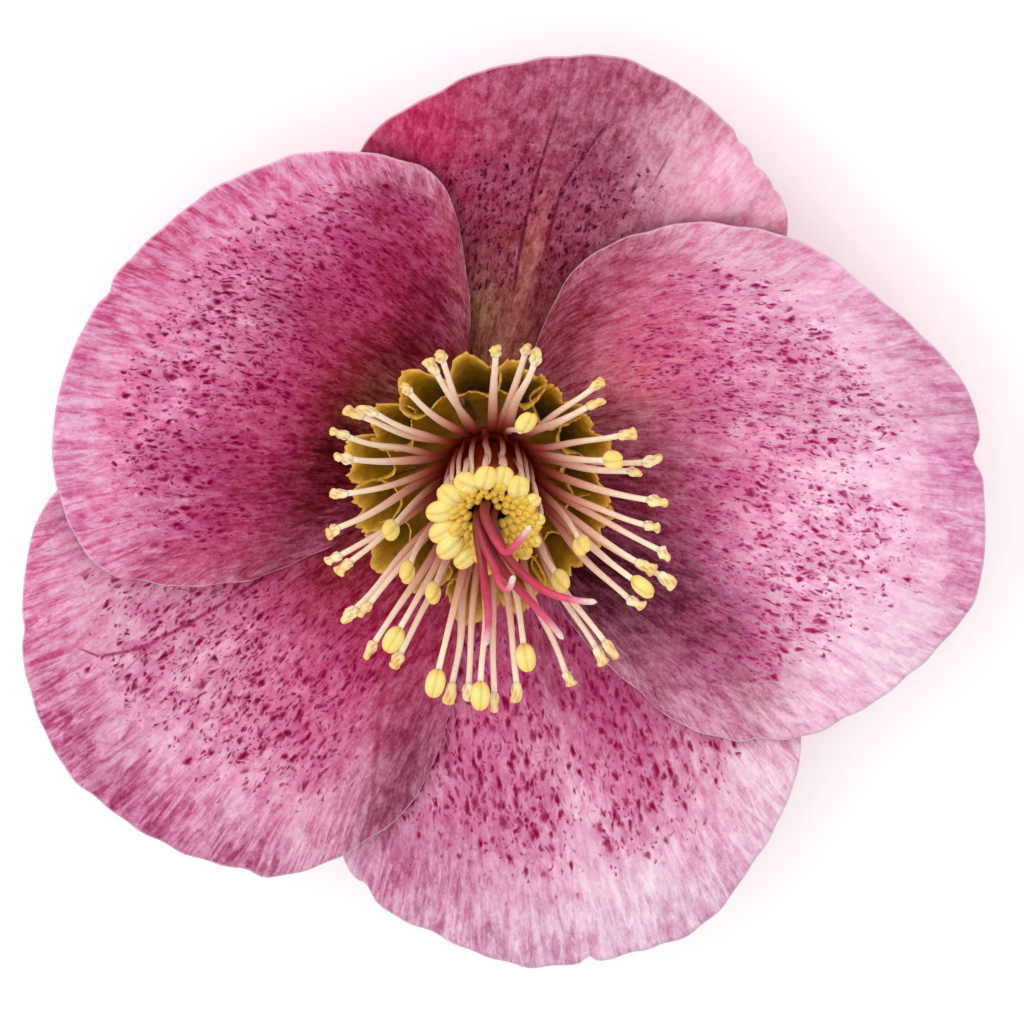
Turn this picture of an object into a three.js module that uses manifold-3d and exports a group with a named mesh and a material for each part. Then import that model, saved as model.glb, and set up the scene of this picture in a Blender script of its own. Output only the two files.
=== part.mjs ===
// A picked hellebore bloom (Helleborus x hybridus) lying face up.
// Five petal-like sepals overlap in a shallow bowl, which rests on the low backs of the sepals.
// On the receptacle inside it stand, from the outside in: the ruff of nectaries, the spread stamens,
// the tight head of young stamens, and the carpels with their long styles.
// Millimetres, +Z up. The surface is at z = 0, and x = y = 0 is the middle of the bloom's outline.

import * as THREE from "three";
import { mergeVertices } from "three/addons/utils/BufferGeometryUtils.js";
import Module from "manifold-3d";

const wasm = await Module();
wasm.setup();

// ---- driving dimensions -------------------------------------------------------------------------

// The bowl: height of the sepals' upper face above the surface, by distance from the flower's axis.
const BOWL_LOW = 0.69; // at its lowest ring, where the backs touch the surface
const BOWL_LOW_RADIUS = 9;
const BOWL_RISE = 14; // from the lowest ring to the rim radius
const BOWL_RIM_RADIUS = 44;
const CLAW_RISE = 2.3; // from the lowest ring up to the receptacle

// Sepals. A sepal is a fan of veins from its narrow claw to its rim.
const SEPAL_DEPTH = 0.85; // measured straight down, so the blade is 0.6 thick where it is steepest
const CLAW_RADIUS = 3.5; // from the axis to the claw's end
const CLAW_HALF_WIDTH = 1.8;
const OVER_LIFT = 1.55; // a margin that lies over its neighbour stands this much higher
// Where that lift starts and where it is complete: distance from the midline at the axis, and how
// much it grows for each millimetre outwards.
const OVER_FROM = [0.2, 0.07];
const OVER_FULL = [2.5, 0.22];
const FAN_CELLS = 20; // mesh cells across a sepal
const RAY_CELLS = 8; // and from claw to rim

// Aim: compass angle from +X, anticlockwise. Over: whether the clockwise and the anticlockwise
// margin lie over the neighbour. Rim: [degrees off the aim, length] of the veins that end at it.
// Folds: [degrees off the aim, half width in degrees, height at the rim].
const SEPALS = [
  {
    name: "sepal_1_front",
    aim: 281.5,
    over: [false, false],
    rim: [
      [-46, 16],
      [-44, 26],
      [-36, 30.7],
      [-28, 33.3],
      [-17, 35.2],
      [-7, 37.1],
      [1, 37.4],
      [14, 37.1],
      [29, 33.7],
      [42, 30.3],
      [49, 25],
      [51, 16],
    ],
    folds: [[0, 7, -0.9]],
  },
  {
    name: "sepal_2_back",
    aim: 76,
    over: [false, false],
    rim: [
      [-48, 15],
      [-46, 24],
      [-37, 28.7],
      [-30, 30.7],
      [-15, 33.3],
      [0, 34.6],
      [15, 32.2],
      [30, 29],
      [37, 27.1],
      [44, 23],
      [46, 15],
    ],
    folds: [[4, 7, 0.7]],
  },
  {
    name: "sepal_3_front_left",
    aim: 216,
    over: [false, true],
    rim: [
      [-44, 15],
      [-44, 26],
      [-40, 31.7],
      [-30, 34.1],
      [-15, 36.4],
      [0, 37.2],
      [15, 35.2],
      [30, 32],
      [45, 26.2],
      [53, 18.5],
      [56, 11],
      [60, 6],
    ],
    folds: [[30, 8, 1.6]],
  },
  {
    name: "sepal_4_right",
    aim: 2,
    over: [true, true],
    rim: [
      [-92, 5.5],
      [-86, 11.4],
      [-75, 17.5],
      [-60, 25.4],
      [-45, 29.9],
      [-30, 32.7],
      [-14, 35.6],
      [0, 35.4],
      [15, 35.1],
      [30, 31.9],
      [45, 29.4],
      [60, 24.5],
      [75, 17.5],
      [87, 8.9],
      [94, 4.5],
    ],
    folds: [[4, 8, -0.8]],
  },
  {
    name: "sepal_5_back_left",
    aim: 152,
    over: [true, true],
    rim: [
      [-76, 6],
      [-68, 13],
      [-60, 23.5],
      [-45, 28.2],
      [-30, 30.1],
      [-15, 30.7],
      [0, 31.1],
      [15, 31.5],
      [30, 30.8],
      [45, 28.2],
      [60, 20.3],
      [70, 14.2],
      [76, 9.5],
      [80, 6],
    ],
    folds: [[58, 10, 1]],
  },
];

// Receptacle: [radius, height] up its outline, from the pedicel, cut off flush below the flower,
// over the saucer under the claws to the post under the carpels.
const RECEPTACLE_OUTLINE = [
  [0, 0.35],
  [1.8, 0.35],
  [2.1, 0.6],
  [4.3, 0.5],
  [4.5, 0.75],
  [4.2, 1.05],
  [3.1, 1.95],
  [3.1, 2.8],
  [2.1, 2.95],
  [1.9, 4.7],
  [1.6, 6.4],
  [0, 6.4],
];
const ROUND_SIDES = 16;

// Rings that the repeated organs grow from: inner radius, outer radius, bottom, top.
const NECTARY_RING = [2.45, 3.35, 3.25, 4.5];
const SPREAD_RING = [2.3, 3.4, 4.8, 5.8];

// Nectaries: flattened funnels with a wavy two-lipped mouth.
const NECTARIES = 15;
const NECTARY_START = [3.15, 3.75]; // radius and height of the narrow end
const NECTARY_BEND = [6.0, 4.8];
const NECTARY_MOUTH = [8.6, 9.2]; // the middle of the mouth
const NECTARY_SWAY = [-0.5, 0]; // how far all the mouths stand aside, along X and Y
const NECTARY_UNEVEN = 0.55; // the most that a nectary is longer or shorter than its fellows
const NECTARY_WALL = 0.5;
const NECTARY_SIDES = 8;
const NECTARY_LIP = 1.5; // how much longer the outer lip is
const NECTARY_RUFFLE = 0.3;
const NECTARY_WAVE = 0.45; // how far the mouth waves up and down across its width
const NECTARY_WAVE_TURN = 3.6; // radians of that wave from the middle of the mouth to its side
// [share of the length, half width, half height] of the funnel
const NECTARY_SECTIONS = [
  [0, 0.62, 0.4],
  [0.35, 1.05, 0.7],
  [0.7, 1.6, 1],
  [1, 2.2, 0.85],
];

// Stamens
const STAMEN_SIDES = 5;
const FILAMENT_CELLS = 4;
const FILAMENT_RADIUS = 0.36;
// [share of the length, share of the width] of an anther
const ANTHER_SWELL = [
  [0, 0.5],
  [0.28, 1],
  [0.72, 1],
  [1, 0.45],
];

// Spread stamens: root, bend and end of the filament, each a radius and a height.
const SPREAD_ROOT = [2.95, 5.3];
const SPREAD_BEND = [6.4, 12.6];
const SPREAD_END = [12.3, 15.9];
const SPREAD_LONGER = 1.5; // how much further they reach at the front and the back
const SPREAD_SWAY = [0.4, -1]; // how far all their ends stand aside, along X and Y
// Most have shed their pollen and shrunk.
const SPENT_STAMENS = 36;
const GOLDEN_ANGLE = 137.508;
const SPENT_ANTHER = [1.9, 0.48, 0.38]; // length, half width, half thickness
// The others still have full anthers: compass angle, radius and height of the filament's end, and
// how many degrees the anther nods outwards from there.
const RIPE_STAMENS = [
  [71, 7.3, 15.5, 45],
  [30, 10.3, 17.2, 0],
  [345, 7.2, 16, 0],
  [185, 7.4, 16, 0],
  [213, 7.4, 16, 0],
  [234, 7.2, 16, 0],
  [232, 11.4, 17.2, 0],
  [252, 13, 17.6, 0],
  [267, 13.5, 17.4, 0],
  [284, 11, 16.4, 0],
  [337, 12.1, 17.4, 0],
  [314, 7.4, 14.6, 0],
];
const RIPE_ANTHER = [2.4, 0.78, 0.52];

// The young stamens and the carpels stand together and lean to the front: sideways per millimetre
// of height, from this height up.
const LEAN = -0.05;
const LEAN_FROM = 6.2;

// Head of young stamens: a packed core, and on it rings of stamens that bow over it with their anthers.
const HEAD_OUTLINE = [
  [2.05, 6.2],
  [2.5, 6.2],
  [3.3, 11.5],
  [3.5, 14.4],
  [3.1, 15.4],
  [2.5, 14.8],
  [2.15, 12.8],
  [2.05, 6.2],
];
const HEAD_SIDES = 12;
// Outer ring: root, bend and end of the filament, each a radius and a height.
const BOWED_ROOT = [2.7, 8.8];
const BOWED_BEND = [4.4, 13];
const BOWED_END = [4.0, 16.3];
const BOWED_FILAMENT_RADIUS = 0.34;
const BOWED_FILAMENT_CELLS = 3;
// Rings of anthers: count, radius and height of the middle, [length, half width, half thickness],
// and in degrees how far they dip inwards and how far they are turned aside at most.
const HEAD_RINGS = [
  { count: 15, radius: 3.75, height: 15.9, anther: [2.4, 0.88, 0.6], dip: 18, aside: 32 },
  { count: 12, radius: 2.9, height: 15.4, anther: [1.6, 0.6, 0.5], dip: 48, aside: 20 },
  { count: 10, radius: 2.5, height: 14.3, anther: [1.4, 0.5, 0.45], dip: 62, aside: 0 },
];

// Carpels: pods in a ring, each drawn out into a style.
const CARPEL_FOOT = [1.6, 6.7, 7.6]; // radius, bottom and top of the disc they share
const CARPEL_RING = 0.8;
const CARPEL_TOP = 12.6;
const CARPEL_RADIUS = 0.72;
const STYLE_RADIUS = 0.45;
const STYLE_TIP_RADIUS = 0.24;
const STYLE_SIDES = 5;
const STYLE_CELLS = 8;
const STYLE_CLEARANCE = 1.3; // from a style's centreline to the nearest young anther's own
// Compass angle of each pod, and the route of its style above it: x, y, z.
const CARPELS = [
  {
    angle: 80,
    style: [
      [-0.4, 0.6, 16.2],
      [0, -0.4, 17.6],
      [0.8, -1.5, 18.6],
      [1.4, -1.8, 19],
      [2.3, -0.7, 19.5],
      [3.2, 0.8, 20],
    ],
  },
  {
    angle: 152,
    style: [
      [-0.9, -0.4, 16.2],
      [-0.4, -1.7, 17.7],
      [0.3, -3.1, 18.6],
      [0.9, -4.6, 18.9],
      [1.5, -4.8, 19.3],
      [1.9, -3.4, 20],
    ],
  },
  {
    angle: 224,
    style: [
      [-0.95, -0.9, 15.9],
      [-0.6, -3.3, 17.6],
      [-0.2, -6.1, 18.1],
      [-0.1, -8.3, 18.1],
      [-0.3, -10.3, 17.8],
    ],
  },
  {
    angle: 8,
    style: [
      [0.2, -0.3, 15.9],
      [1.1, -2.3, 17.5],
      [2.6, -4, 18.2],
      [4.6, -5.3, 18.8],
      [6.7, -5.8, 19.2],
      [8.4, -5.8, 19.6],
    ],
  },
  {
    angle: 296,
    style: [
      [-0.2, -1.1, 15.6],
      [0.6, -3.3, 17],
      [2.1, -5.3, 17.6],
      [4.5, -7.9, 18.1],
      [5.8, -9.4, 18.6],
    ],
  },
];

const SLIVER = 0.02; // facets thinner than this are merged into their neighbours

// ---- helpers ------------------------------------------------------------------------------------

const radians = THREE.MathUtils.degToRad;
const degrees = THREE.MathUtils.radToDeg;
const ramp = THREE.MathUtils.smoothstep;
const clamp = THREE.MathUtils.clamp;

// A fixed draw between -1 and 1 for item i of the draw named by salt.
function scatter(i, salt) {
  const s = Math.sin(i * 12.9898 + salt * 78.233) * 43758.5453;
  return 2 * (s - Math.floor(s)) - 1;
}

// A point at a compass angle (degrees), distance from the axis and height.
function polar(angle, radius, z) {
  return new THREE.Vector3(radius * Math.cos(radians(angle)), radius * Math.sin(radians(angle)), z);
}

function swayed(point, [x, y]) {
  return point.add(new THREE.Vector3(x, y, 0));
}

function smoothThrough(points) {
  return new THREE.CatmullRomCurve3(points, false, "catmullrom");
}

function geometryOf(points, triangles) {
  const geometry = new THREE.BufferGeometry().setFromPoints(points);
  geometry.setIndex(triangles.flat());
  return geometry;
}

function solidOf(geometry) {
  const bare = geometry.clone();
  bare.deleteAttribute("normal");
  bare.deleteAttribute("uv");
  const merged = mergeVertices(bare, 1e-4);
  return new wasm.Manifold(
    new wasm.Mesh({
      numProp: 3,
      vertProperties: merged.attributes.position.array,
      triVerts: new Uint32Array(merged.index.array),
    }),
  );
}

function geometryOfSolid(solid) {
  const mesh = solid.simplify(SLIVER).getMesh();
  return new THREE.BufferGeometry()
    .setAttribute("position", new THREE.BufferAttribute(mesh.vertProperties, 3))
    .setIndex(new THREE.BufferAttribute(mesh.triVerts, 1));
}

// Several closed geometries as one.
function fuse(geometries) {
  return geometryOfSolid(geometries.map(solidOf).reduce((all, next) => all.add(next)));
}

// A closed skin over rings of points, each with the same count, with flat ends.
function loft(rings) {
  const sides = rings[0].length;
  const last = (rings.length - 1) * sides;
  const triangles = [];
  for (let r = 0; r < rings.length - 1; r++) {
    for (let i = 0; i < sides; i++) {
      const a = r * sides + i;
      const b = r * sides + ((i + 1) % sides);
      triangles.push([a, b, b + sides], [a, b + sides, a + sides]);
    }
  }
  for (let i = 1; i < sides - 1; i++) {
    triangles.push([0, i + 1, i], [last, last + i, last + i + 1]);
  }
  return geometryOf(rings.flat(), triangles);
}

// An oval ring of points round a centre, in the plane of two unit vectors.
function oval(centre, across, up, halfWidth, halfHeight, sides) {
  return Array.from({ length: sides }, (_, i) => {
    const turn = (2 * Math.PI * i) / sides;
    return centre
      .clone()
      .addScaledVector(across, halfWidth * Math.cos(turn))
      .addScaledVector(up, halfHeight * Math.sin(turn));
  });
}

// Unit vectors across a direction, the first one level.
function crossAxes(direction) {
  const across = new THREE.Vector3(0, 0, 1).cross(direction).normalize();
  return [across, direction.clone().cross(across).normalize()];
}

// A direction bent towards the ground by some degrees.
function nodded(direction, degrees) {
  const [across] = crossAxes(direction);
  return direction.clone().applyAxisAngle(across, radians(degrees));
}

// The rings of a stalk along a curve, its radius given by the share of the way along.
function stalkRings(curve, radiusAt, sides, cells) {
  return Array.from({ length: cells + 1 }, (_, i) => {
    const [across, up] = crossAxes(curve.getTangentAt(i / cells));
    const radius = radiusAt(i / cells);
    return oval(curve.getPointAt(i / cells), across, up, radius, radius, sides);
  });
}

// A stalk whose curve may pass through the upright.
function stalk(curve, radiusAt, sides, cells) {
  const { normals, binormals } = curve.computeFrenetFrames(cells);
  const rings = normals.map((normal, i) => {
    const radius = radiusAt(i / cells);
    return oval(curve.getPointAt(i / cells), normal, binormals[i], radius, radius, sides);
  });
  return loft(rings);
}

// The rings of an anther: a blunt pod from its foot along a direction, broader than it is thick.
function antherRings(foot, direction, [length, halfWidth, halfThickness]) {
  const [across, up] = crossAxes(direction);
  return ANTHER_SWELL.map(([share, size]) => {
    const centre = foot.clone().addScaledVector(direction, length * share);
    return oval(centre, across, up, halfWidth * size, halfThickness * size, STAMEN_SIDES);
  });
}

// A turned solid from an outline of [radius, height] that is closed or starts and ends on the axis.
function turned(outline, sides = ROUND_SIDES) {
  const points = outline.map(([radius, z]) => new THREE.Vector2(radius, z));
  return new THREE.LatheGeometry(points, sides).rotateX(Math.PI / 2);
}

function ring([inner, outer, bottom, top]) {
  return turned([
    [inner, bottom],
    [outer, bottom],
    [outer, top],
    [inner, top],
    [inner, bottom],
  ]);
}

// ---- sepals -------------------------------------------------------------------------------------

function bowlHeight(radius) {
  const outward = ramp(radius, BOWL_LOW_RADIUS, BOWL_RIM_RADIUS);
  const inward = clamp((BOWL_LOW_RADIUS - radius) / (BOWL_LOW_RADIUS - CLAW_RADIUS), 0, 1);
  return BOWL_LOW + BOWL_RISE * outward + CLAW_RISE * inward ** 2;
}

function rimCurve({ aim, rim }) {
  const claw = polar(aim, CLAW_RADIUS, 0);
  return smoothThrough(rim.map(([off, length]) => polar(aim + off, length, 0).add(claw)));
}

// How far a sepal's margins lift it at a place, to lie over its neighbours.
function overLift({ aim, over }, place) {
  const radius = place.length();
  const offMidline = place.dot(polar(aim + 90, 1, 0));
  const from = OVER_FROM[0] + OVER_FROM[1] * radius;
  const full = OVER_FULL[0] + OVER_FULL[1] * radius;
  return over[offMidline < 0 ? 0 : 1] ? OVER_LIFT * ramp(Math.abs(offMidline), from, full) : 0;
}

// How far its folds lift the vein that ends at a place on the rim.
function foldLift({ aim, folds }, rimPlace) {
  const vein = rimPlace.clone().sub(polar(aim, CLAW_RADIUS, 0));
  const off = degrees(Math.atan2(vein.dot(polar(aim + 90, 1, 0)), vein.dot(polar(aim, 1, 0))));
  return folds.reduce((sum, [at, width, height]) => sum + height * Math.exp(-(((off - at) / width) ** 2)), 0);
}

// A point of a sepal's upper face, at a share of the way across it and of the way from claw to rim.
function sepalPoint(sepal, rim, across, outward) {
  const rimPlace = rim.getPointAt(across);
  const clawOff = (2 * across - 1) * CLAW_HALF_WIDTH;
  const claw = polar(sepal.aim, CLAW_RADIUS, 0).add(polar(sepal.aim + 90, clawOff, 0));
  const place = claw.lerp(rimPlace, outward);
  const height = bowlHeight(place.length()) + overLift(sepal, place);
  return place.setZ(height + foldLift(sepal, rimPlace) * outward ** 2);
}

// The blade is closed between its upper face and the same face lowered, and is cut flat where it rests.
function sepalGeometry(sepal) {
  const rim = rimCurve(sepal);
  const upper = [];
  for (let j = 0; j <= RAY_CELLS; j++) {
    for (let i = 0; i <= FAN_CELLS; i++) {
      upper.push(sepalPoint(sepal, rim, i / FAN_CELLS, (j / RAY_CELLS) ** 1.25));
    }
  }
  const lower = upper.map((p) => new THREE.Vector3(p.x, p.y, p.z - SEPAL_DEPTH));
  const under = upper.length;
  const row = FAN_CELLS + 1;
  const triangles = [];
  for (let j = 0; j < RAY_CELLS; j++) {
    for (let i = 0; i < FAN_CELLS; i++) {
      const a = j * row + i;
      triangles.push([a, a + row, a + row + 1], [a, a + row + 1, a + 1]);
      triangles.push([under + a, under + a + row + 1, under + a + row]);
      triangles.push([under + a, under + a + 1, under + a + row + 1]);
    }
  }
  const edge = [];
  for (let i = 0; i < FAN_CELLS; i++) edge.push(i);
  for (let j = 0; j < RAY_CELLS; j++) edge.push(j * row + FAN_CELLS);
  for (let i = FAN_CELLS; i > 0; i--) edge.push(RAY_CELLS * row + i);
  for (let j = RAY_CELLS; j > 0; j--) edge.push(j * row);
  edge.forEach((a, n) => {
    const b = edge[(n + 1) % edge.length];
    triangles.push([a, b, under + b], [a, under + b, under + a]);
  });
  const blade = solidOf(geometryOf([...upper, ...lower], triangles));
  return geometryOfSolid(blade.trimByPlane([0, 0, 1], 0));
}

// ---- nectaries ----------------------------------------------------------------------------------

function nectary(index) {
  const angle = (360 * index) / NECTARIES + 3 * scatter(index, 1);
  const longer = 0.6 * (index % 2) + NECTARY_UNEVEN * scatter(index, 2);
  const [mouthRadius, mouthHeight] = NECTARY_MOUTH;
  const mouth = polar(angle, mouthRadius + longer, mouthHeight + 0.3 * scatter(index, 3));
  const curve = new THREE.QuadraticBezierCurve3(
    polar(angle, ...NECTARY_START),
    polar(angle, ...NECTARY_BEND),
    swayed(mouth, NECTARY_SWAY),
  );
  const section = ([share, halfWidth, halfHeight], inset) => {
    const direction = curve.getTangentAt(share);
    const [across, up] = crossAxes(direction);
    const centre = curve.getPointAt(share);
    const edge = oval(centre, across, up, halfWidth - inset, halfHeight - inset, NECTARY_SIDES);
    // Towards the mouth the outer side runs on further, and the edge is ruffled and wavy.
    edge.forEach((point, i) => {
      const turn = (2 * Math.PI * i) / NECTARY_SIDES;
      const push = NECTARY_RUFFLE * Math.cos(3 * turn + index) - NECTARY_LIP * Math.sin(turn);
      const wave = NECTARY_WAVE * Math.sin(NECTARY_WAVE_TURN * Math.cos(turn) + index);
      point.addScaledVector(direction, push * share ** 4).addScaledVector(up, wave * share ** 4);
    });
    return edge;
  };
  const outside = NECTARY_SECTIONS.map((s) => section(s, 0));
  const inside = NECTARY_SECTIONS.slice(2).map((s) => section(s, NECTARY_WALL));
  return loft([...outside, ...inside.reverse()]);
}

function nectariesGeometry() {
  const funnels = Array.from({ length: NECTARIES }, (_, i) => nectary(i));
  return fuse([ring(NECTARY_RING), ...funnels]);
}

// ---- spread stamens -----------------------------------------------------------------------------

function spreadStamen(angle, end, size, draw, nod = 0) {
  const curve = new THREE.QuadraticBezierCurve3(
    polar(angle, ...SPREAD_ROOT),
    polar(angle + 2 * scatter(draw, 5), ...SPREAD_BEND),
    end,
  );
  const filament = stalkRings(curve, () => FILAMENT_RADIUS, STAMEN_SIDES, FILAMENT_CELLS);
  const facing = nodded(curve.getTangentAt(1), nod);
  return loft([...filament, ...antherRings(curve.getPointAt(1), facing, size).slice(1)]);
}

function spreadStamensGeometry() {
  const [endRadius, endHeight] = SPREAD_END;
  const spent = Array.from({ length: SPENT_STAMENS }, (_, i) => {
    const angle = i * GOLDEN_ANGLE + 6 * scatter(i, 3);
    const reach = endRadius + SPREAD_LONGER * Math.sin(radians(angle)) ** 2 + scatter(i, 4);
    const end = polar(angle + 3 * scatter(i, 6), reach, endHeight + 0.7 * scatter(i, 7));
    return spreadStamen(angle, swayed(end, SPREAD_SWAY), SPENT_ANTHER, i);
  });
  const ripe = RIPE_STAMENS.map(([angle, radius, height, nod], i) =>
    spreadStamen(angle, polar(angle, radius, height), RIPE_ANTHER, SPENT_STAMENS + i, nod),
  );
  return fuse([ring(SPREAD_RING), ...spent, ...ripe]);
}

// ---- carpels ------------------------------------------------------------------------------------

function leant(point) {
  point.y += LEAN * Math.max(0, point.z - LEAN_FROM);
  return point;
}

function leantGeometry(geometry) {
  const place = geometry.attributes.position;
  for (let i = 0; i < place.count; i++) {
    place.setY(i, leant(new THREE.Vector3().fromBufferAttribute(place, i)).y);
  }
  return geometry;
}

const styleCurves = CARPELS.map(({ style }) => smoothThrough(style.map((xyz) => new THREE.Vector3(...xyz))));

function carpel({ angle, style }) {
  const podBase = leant(polar(angle, CARPEL_RING, CARPEL_FOOT[1] + 0.3));
  const podTop = leant(polar(angle, CARPEL_RING, CARPEL_TOP));
  const podRadius = (share) => CARPEL_RADIUS * Math.sin(Math.PI * (0.22 + 0.6 * share));
  const pod = stalk(new THREE.LineCurve3(podBase, podTop), podRadius, STYLE_SIDES, 4);
  const styleRoot = podBase.clone().lerp(podTop, 0.8);
  const route = smoothThrough([styleRoot, podTop, ...style.map((xyz) => new THREE.Vector3(...xyz))]);
  const styleRadius = (share) => STYLE_RADIUS + (STYLE_TIP_RADIUS - STYLE_RADIUS) * share ** 2;
  return [pod, stalk(route, styleRadius, STYLE_SIDES, STYLE_CELLS)];
}

function carpelsGeometry() {
  const [radius, bottom, top] = CARPEL_FOOT;
  const foot = turned([
    [0, bottom],
    [radius, bottom],
    [radius, top],
    [0, top],
  ]);
  return fuse([leantGeometry(foot), ...CARPELS.flatMap(carpel)]);
}

// ---- head of young stamens ----------------------------------------------------------------------

// Whether a young anther keeps its distance from the styles at its middle and near both its ends.
function clearOfStyles(middle, direction, length) {
  const stylePoints = styleCurves.flatMap((curve) => curve.getPoints(40));
  return [-0.35, 0, 0.35].every((share) => {
    const point = leant(middle.clone().addScaledVector(direction, share * length));
    return stylePoints.every((stylePoint) => stylePoint.distanceTo(point) > STYLE_CLEARANCE);
  });
}

function bowedFilament(angle) {
  const curve = new THREE.QuadraticBezierCurve3(
    polar(angle, ...BOWED_ROOT),
    polar(angle, ...BOWED_BEND),
    polar(angle, ...BOWED_END),
  );
  return loft(stalkRings(curve, () => BOWED_FILAMENT_RADIUS, STAMEN_SIDES, BOWED_FILAMENT_CELLS));
}

function headRing({ count, radius, height, anther, dip, aside }, index) {
  const made = [];
  for (let i = 0; i < count; i++) {
    const angle = (360 * (i + 0.5 * index)) / count + 3 * scatter(i, 10 + index);
    const middle = polar(angle, radius, height + 0.25 * scatter(i, 20 + index));
    const facing = angle + aside * scatter(i, 40 + index);
    const direction = polar(facing, -Math.cos(radians(dip)), -Math.sin(radians(dip)));
    if (!clearOfStyles(middle, direction, anther[0])) continue;
    made.push(loft(antherRings(middle.addScaledVector(direction, -anther[0] / 2), direction, anther)));
    if (index === 0) made.push(bowedFilament(angle));
  }
  return made;
}

function headGeometry() {
  return leantGeometry(fuse([turned(HEAD_OUTLINE, HEAD_SIDES), ...HEAD_RINGS.flatMap(headRing)]));
}

// ---- the bloom ----------------------------------------------------------------------------------

const FINISHES = {
  sepal: { color: 0xb8527f, roughness: 0.6 },
  receptacle: { color: 0x6f7a3a, roughness: 0.6 },
  nectary: { color: 0x9a8420, roughness: 0.45 },
  stamen: { color: 0xe8c7a0, roughness: 0.5 },
  youngStamen: { color: 0xe6d05a, roughness: 0.5 },
  carpel: { color: 0xb03a5c, roughness: 0.45 },
};

function part(name, geometry, finish) {
  const material = new THREE.MeshStandardMaterial({ ...FINISHES[finish], metalness: 0 });
  const mesh = new THREE.Mesh(geometry, material);
  mesh.name = name;
  return mesh;
}

const bloom = new THREE.Group();
SEPALS.forEach((sepal) => bloom.add(part(sepal.name, sepalGeometry(sepal), "sepal")));
bloom.add(
  part("receptacle", turned(RECEPTACLE_OUTLINE), "receptacle"),
  part("nectaries", nectariesGeometry(), "nectary"),
  part("stamens_spread", spreadStamensGeometry(), "stamen"),
  part("stamens_young", headGeometry(), "youngStamen"),
  part("carpels", carpelsGeometry(), "carpel"),
);

// The outline isn't even round the flower's axis, so the group is shifted to its own middle.
const middle = new THREE.Box3().setFromObject(bloom).getCenter(new THREE.Vector3());
bloom.position.set(-middle.x, -middle.y, 0);

export default bloom;
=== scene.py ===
"""A picked hellebore bloom lying face up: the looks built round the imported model.

Shapes are worked out in millimetres from the flower's axis, with +Z up and compass angles from +X,
anticlockwise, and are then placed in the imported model's frame in metres.
"""

import math

import bpy
import numpy as np
from mathutils import Matrix, Vector


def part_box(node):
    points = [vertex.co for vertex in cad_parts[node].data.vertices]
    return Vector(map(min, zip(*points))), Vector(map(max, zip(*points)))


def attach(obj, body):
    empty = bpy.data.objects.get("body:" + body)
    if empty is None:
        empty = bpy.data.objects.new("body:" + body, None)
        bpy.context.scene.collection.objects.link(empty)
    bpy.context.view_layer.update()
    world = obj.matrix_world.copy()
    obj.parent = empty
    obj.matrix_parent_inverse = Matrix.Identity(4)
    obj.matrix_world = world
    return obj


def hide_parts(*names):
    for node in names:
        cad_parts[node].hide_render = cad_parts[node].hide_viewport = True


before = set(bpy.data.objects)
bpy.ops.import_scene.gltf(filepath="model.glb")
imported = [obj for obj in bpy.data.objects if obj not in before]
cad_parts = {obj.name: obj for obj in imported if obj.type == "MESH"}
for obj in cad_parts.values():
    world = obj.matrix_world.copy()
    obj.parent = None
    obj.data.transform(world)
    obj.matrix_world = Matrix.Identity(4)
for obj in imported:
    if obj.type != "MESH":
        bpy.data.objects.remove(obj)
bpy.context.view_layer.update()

MM = 0.001

receptacle_low, receptacle_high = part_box("receptacle")
AXIS = Vector(((receptacle_low.x + receptacle_high.x) / 2, (receptacle_low.y + receptacle_high.y) / 2, 0))

# ---- Shape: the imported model's own dimensions ----

BOWL_LOW = 0.69
BOWL_LOW_RADIUS = 9
BOWL_RISE = 14
BOWL_RIM_RADIUS = 44
CLAW_RISE = 2.3
CLAW_RADIUS = 3.5
CLAW_HALF_WIDTH = 1.8
OVER_LIFT = 1.55
OVER_FROM = (0.2, 0.07)
OVER_FULL = (2.5, 0.22)

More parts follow.
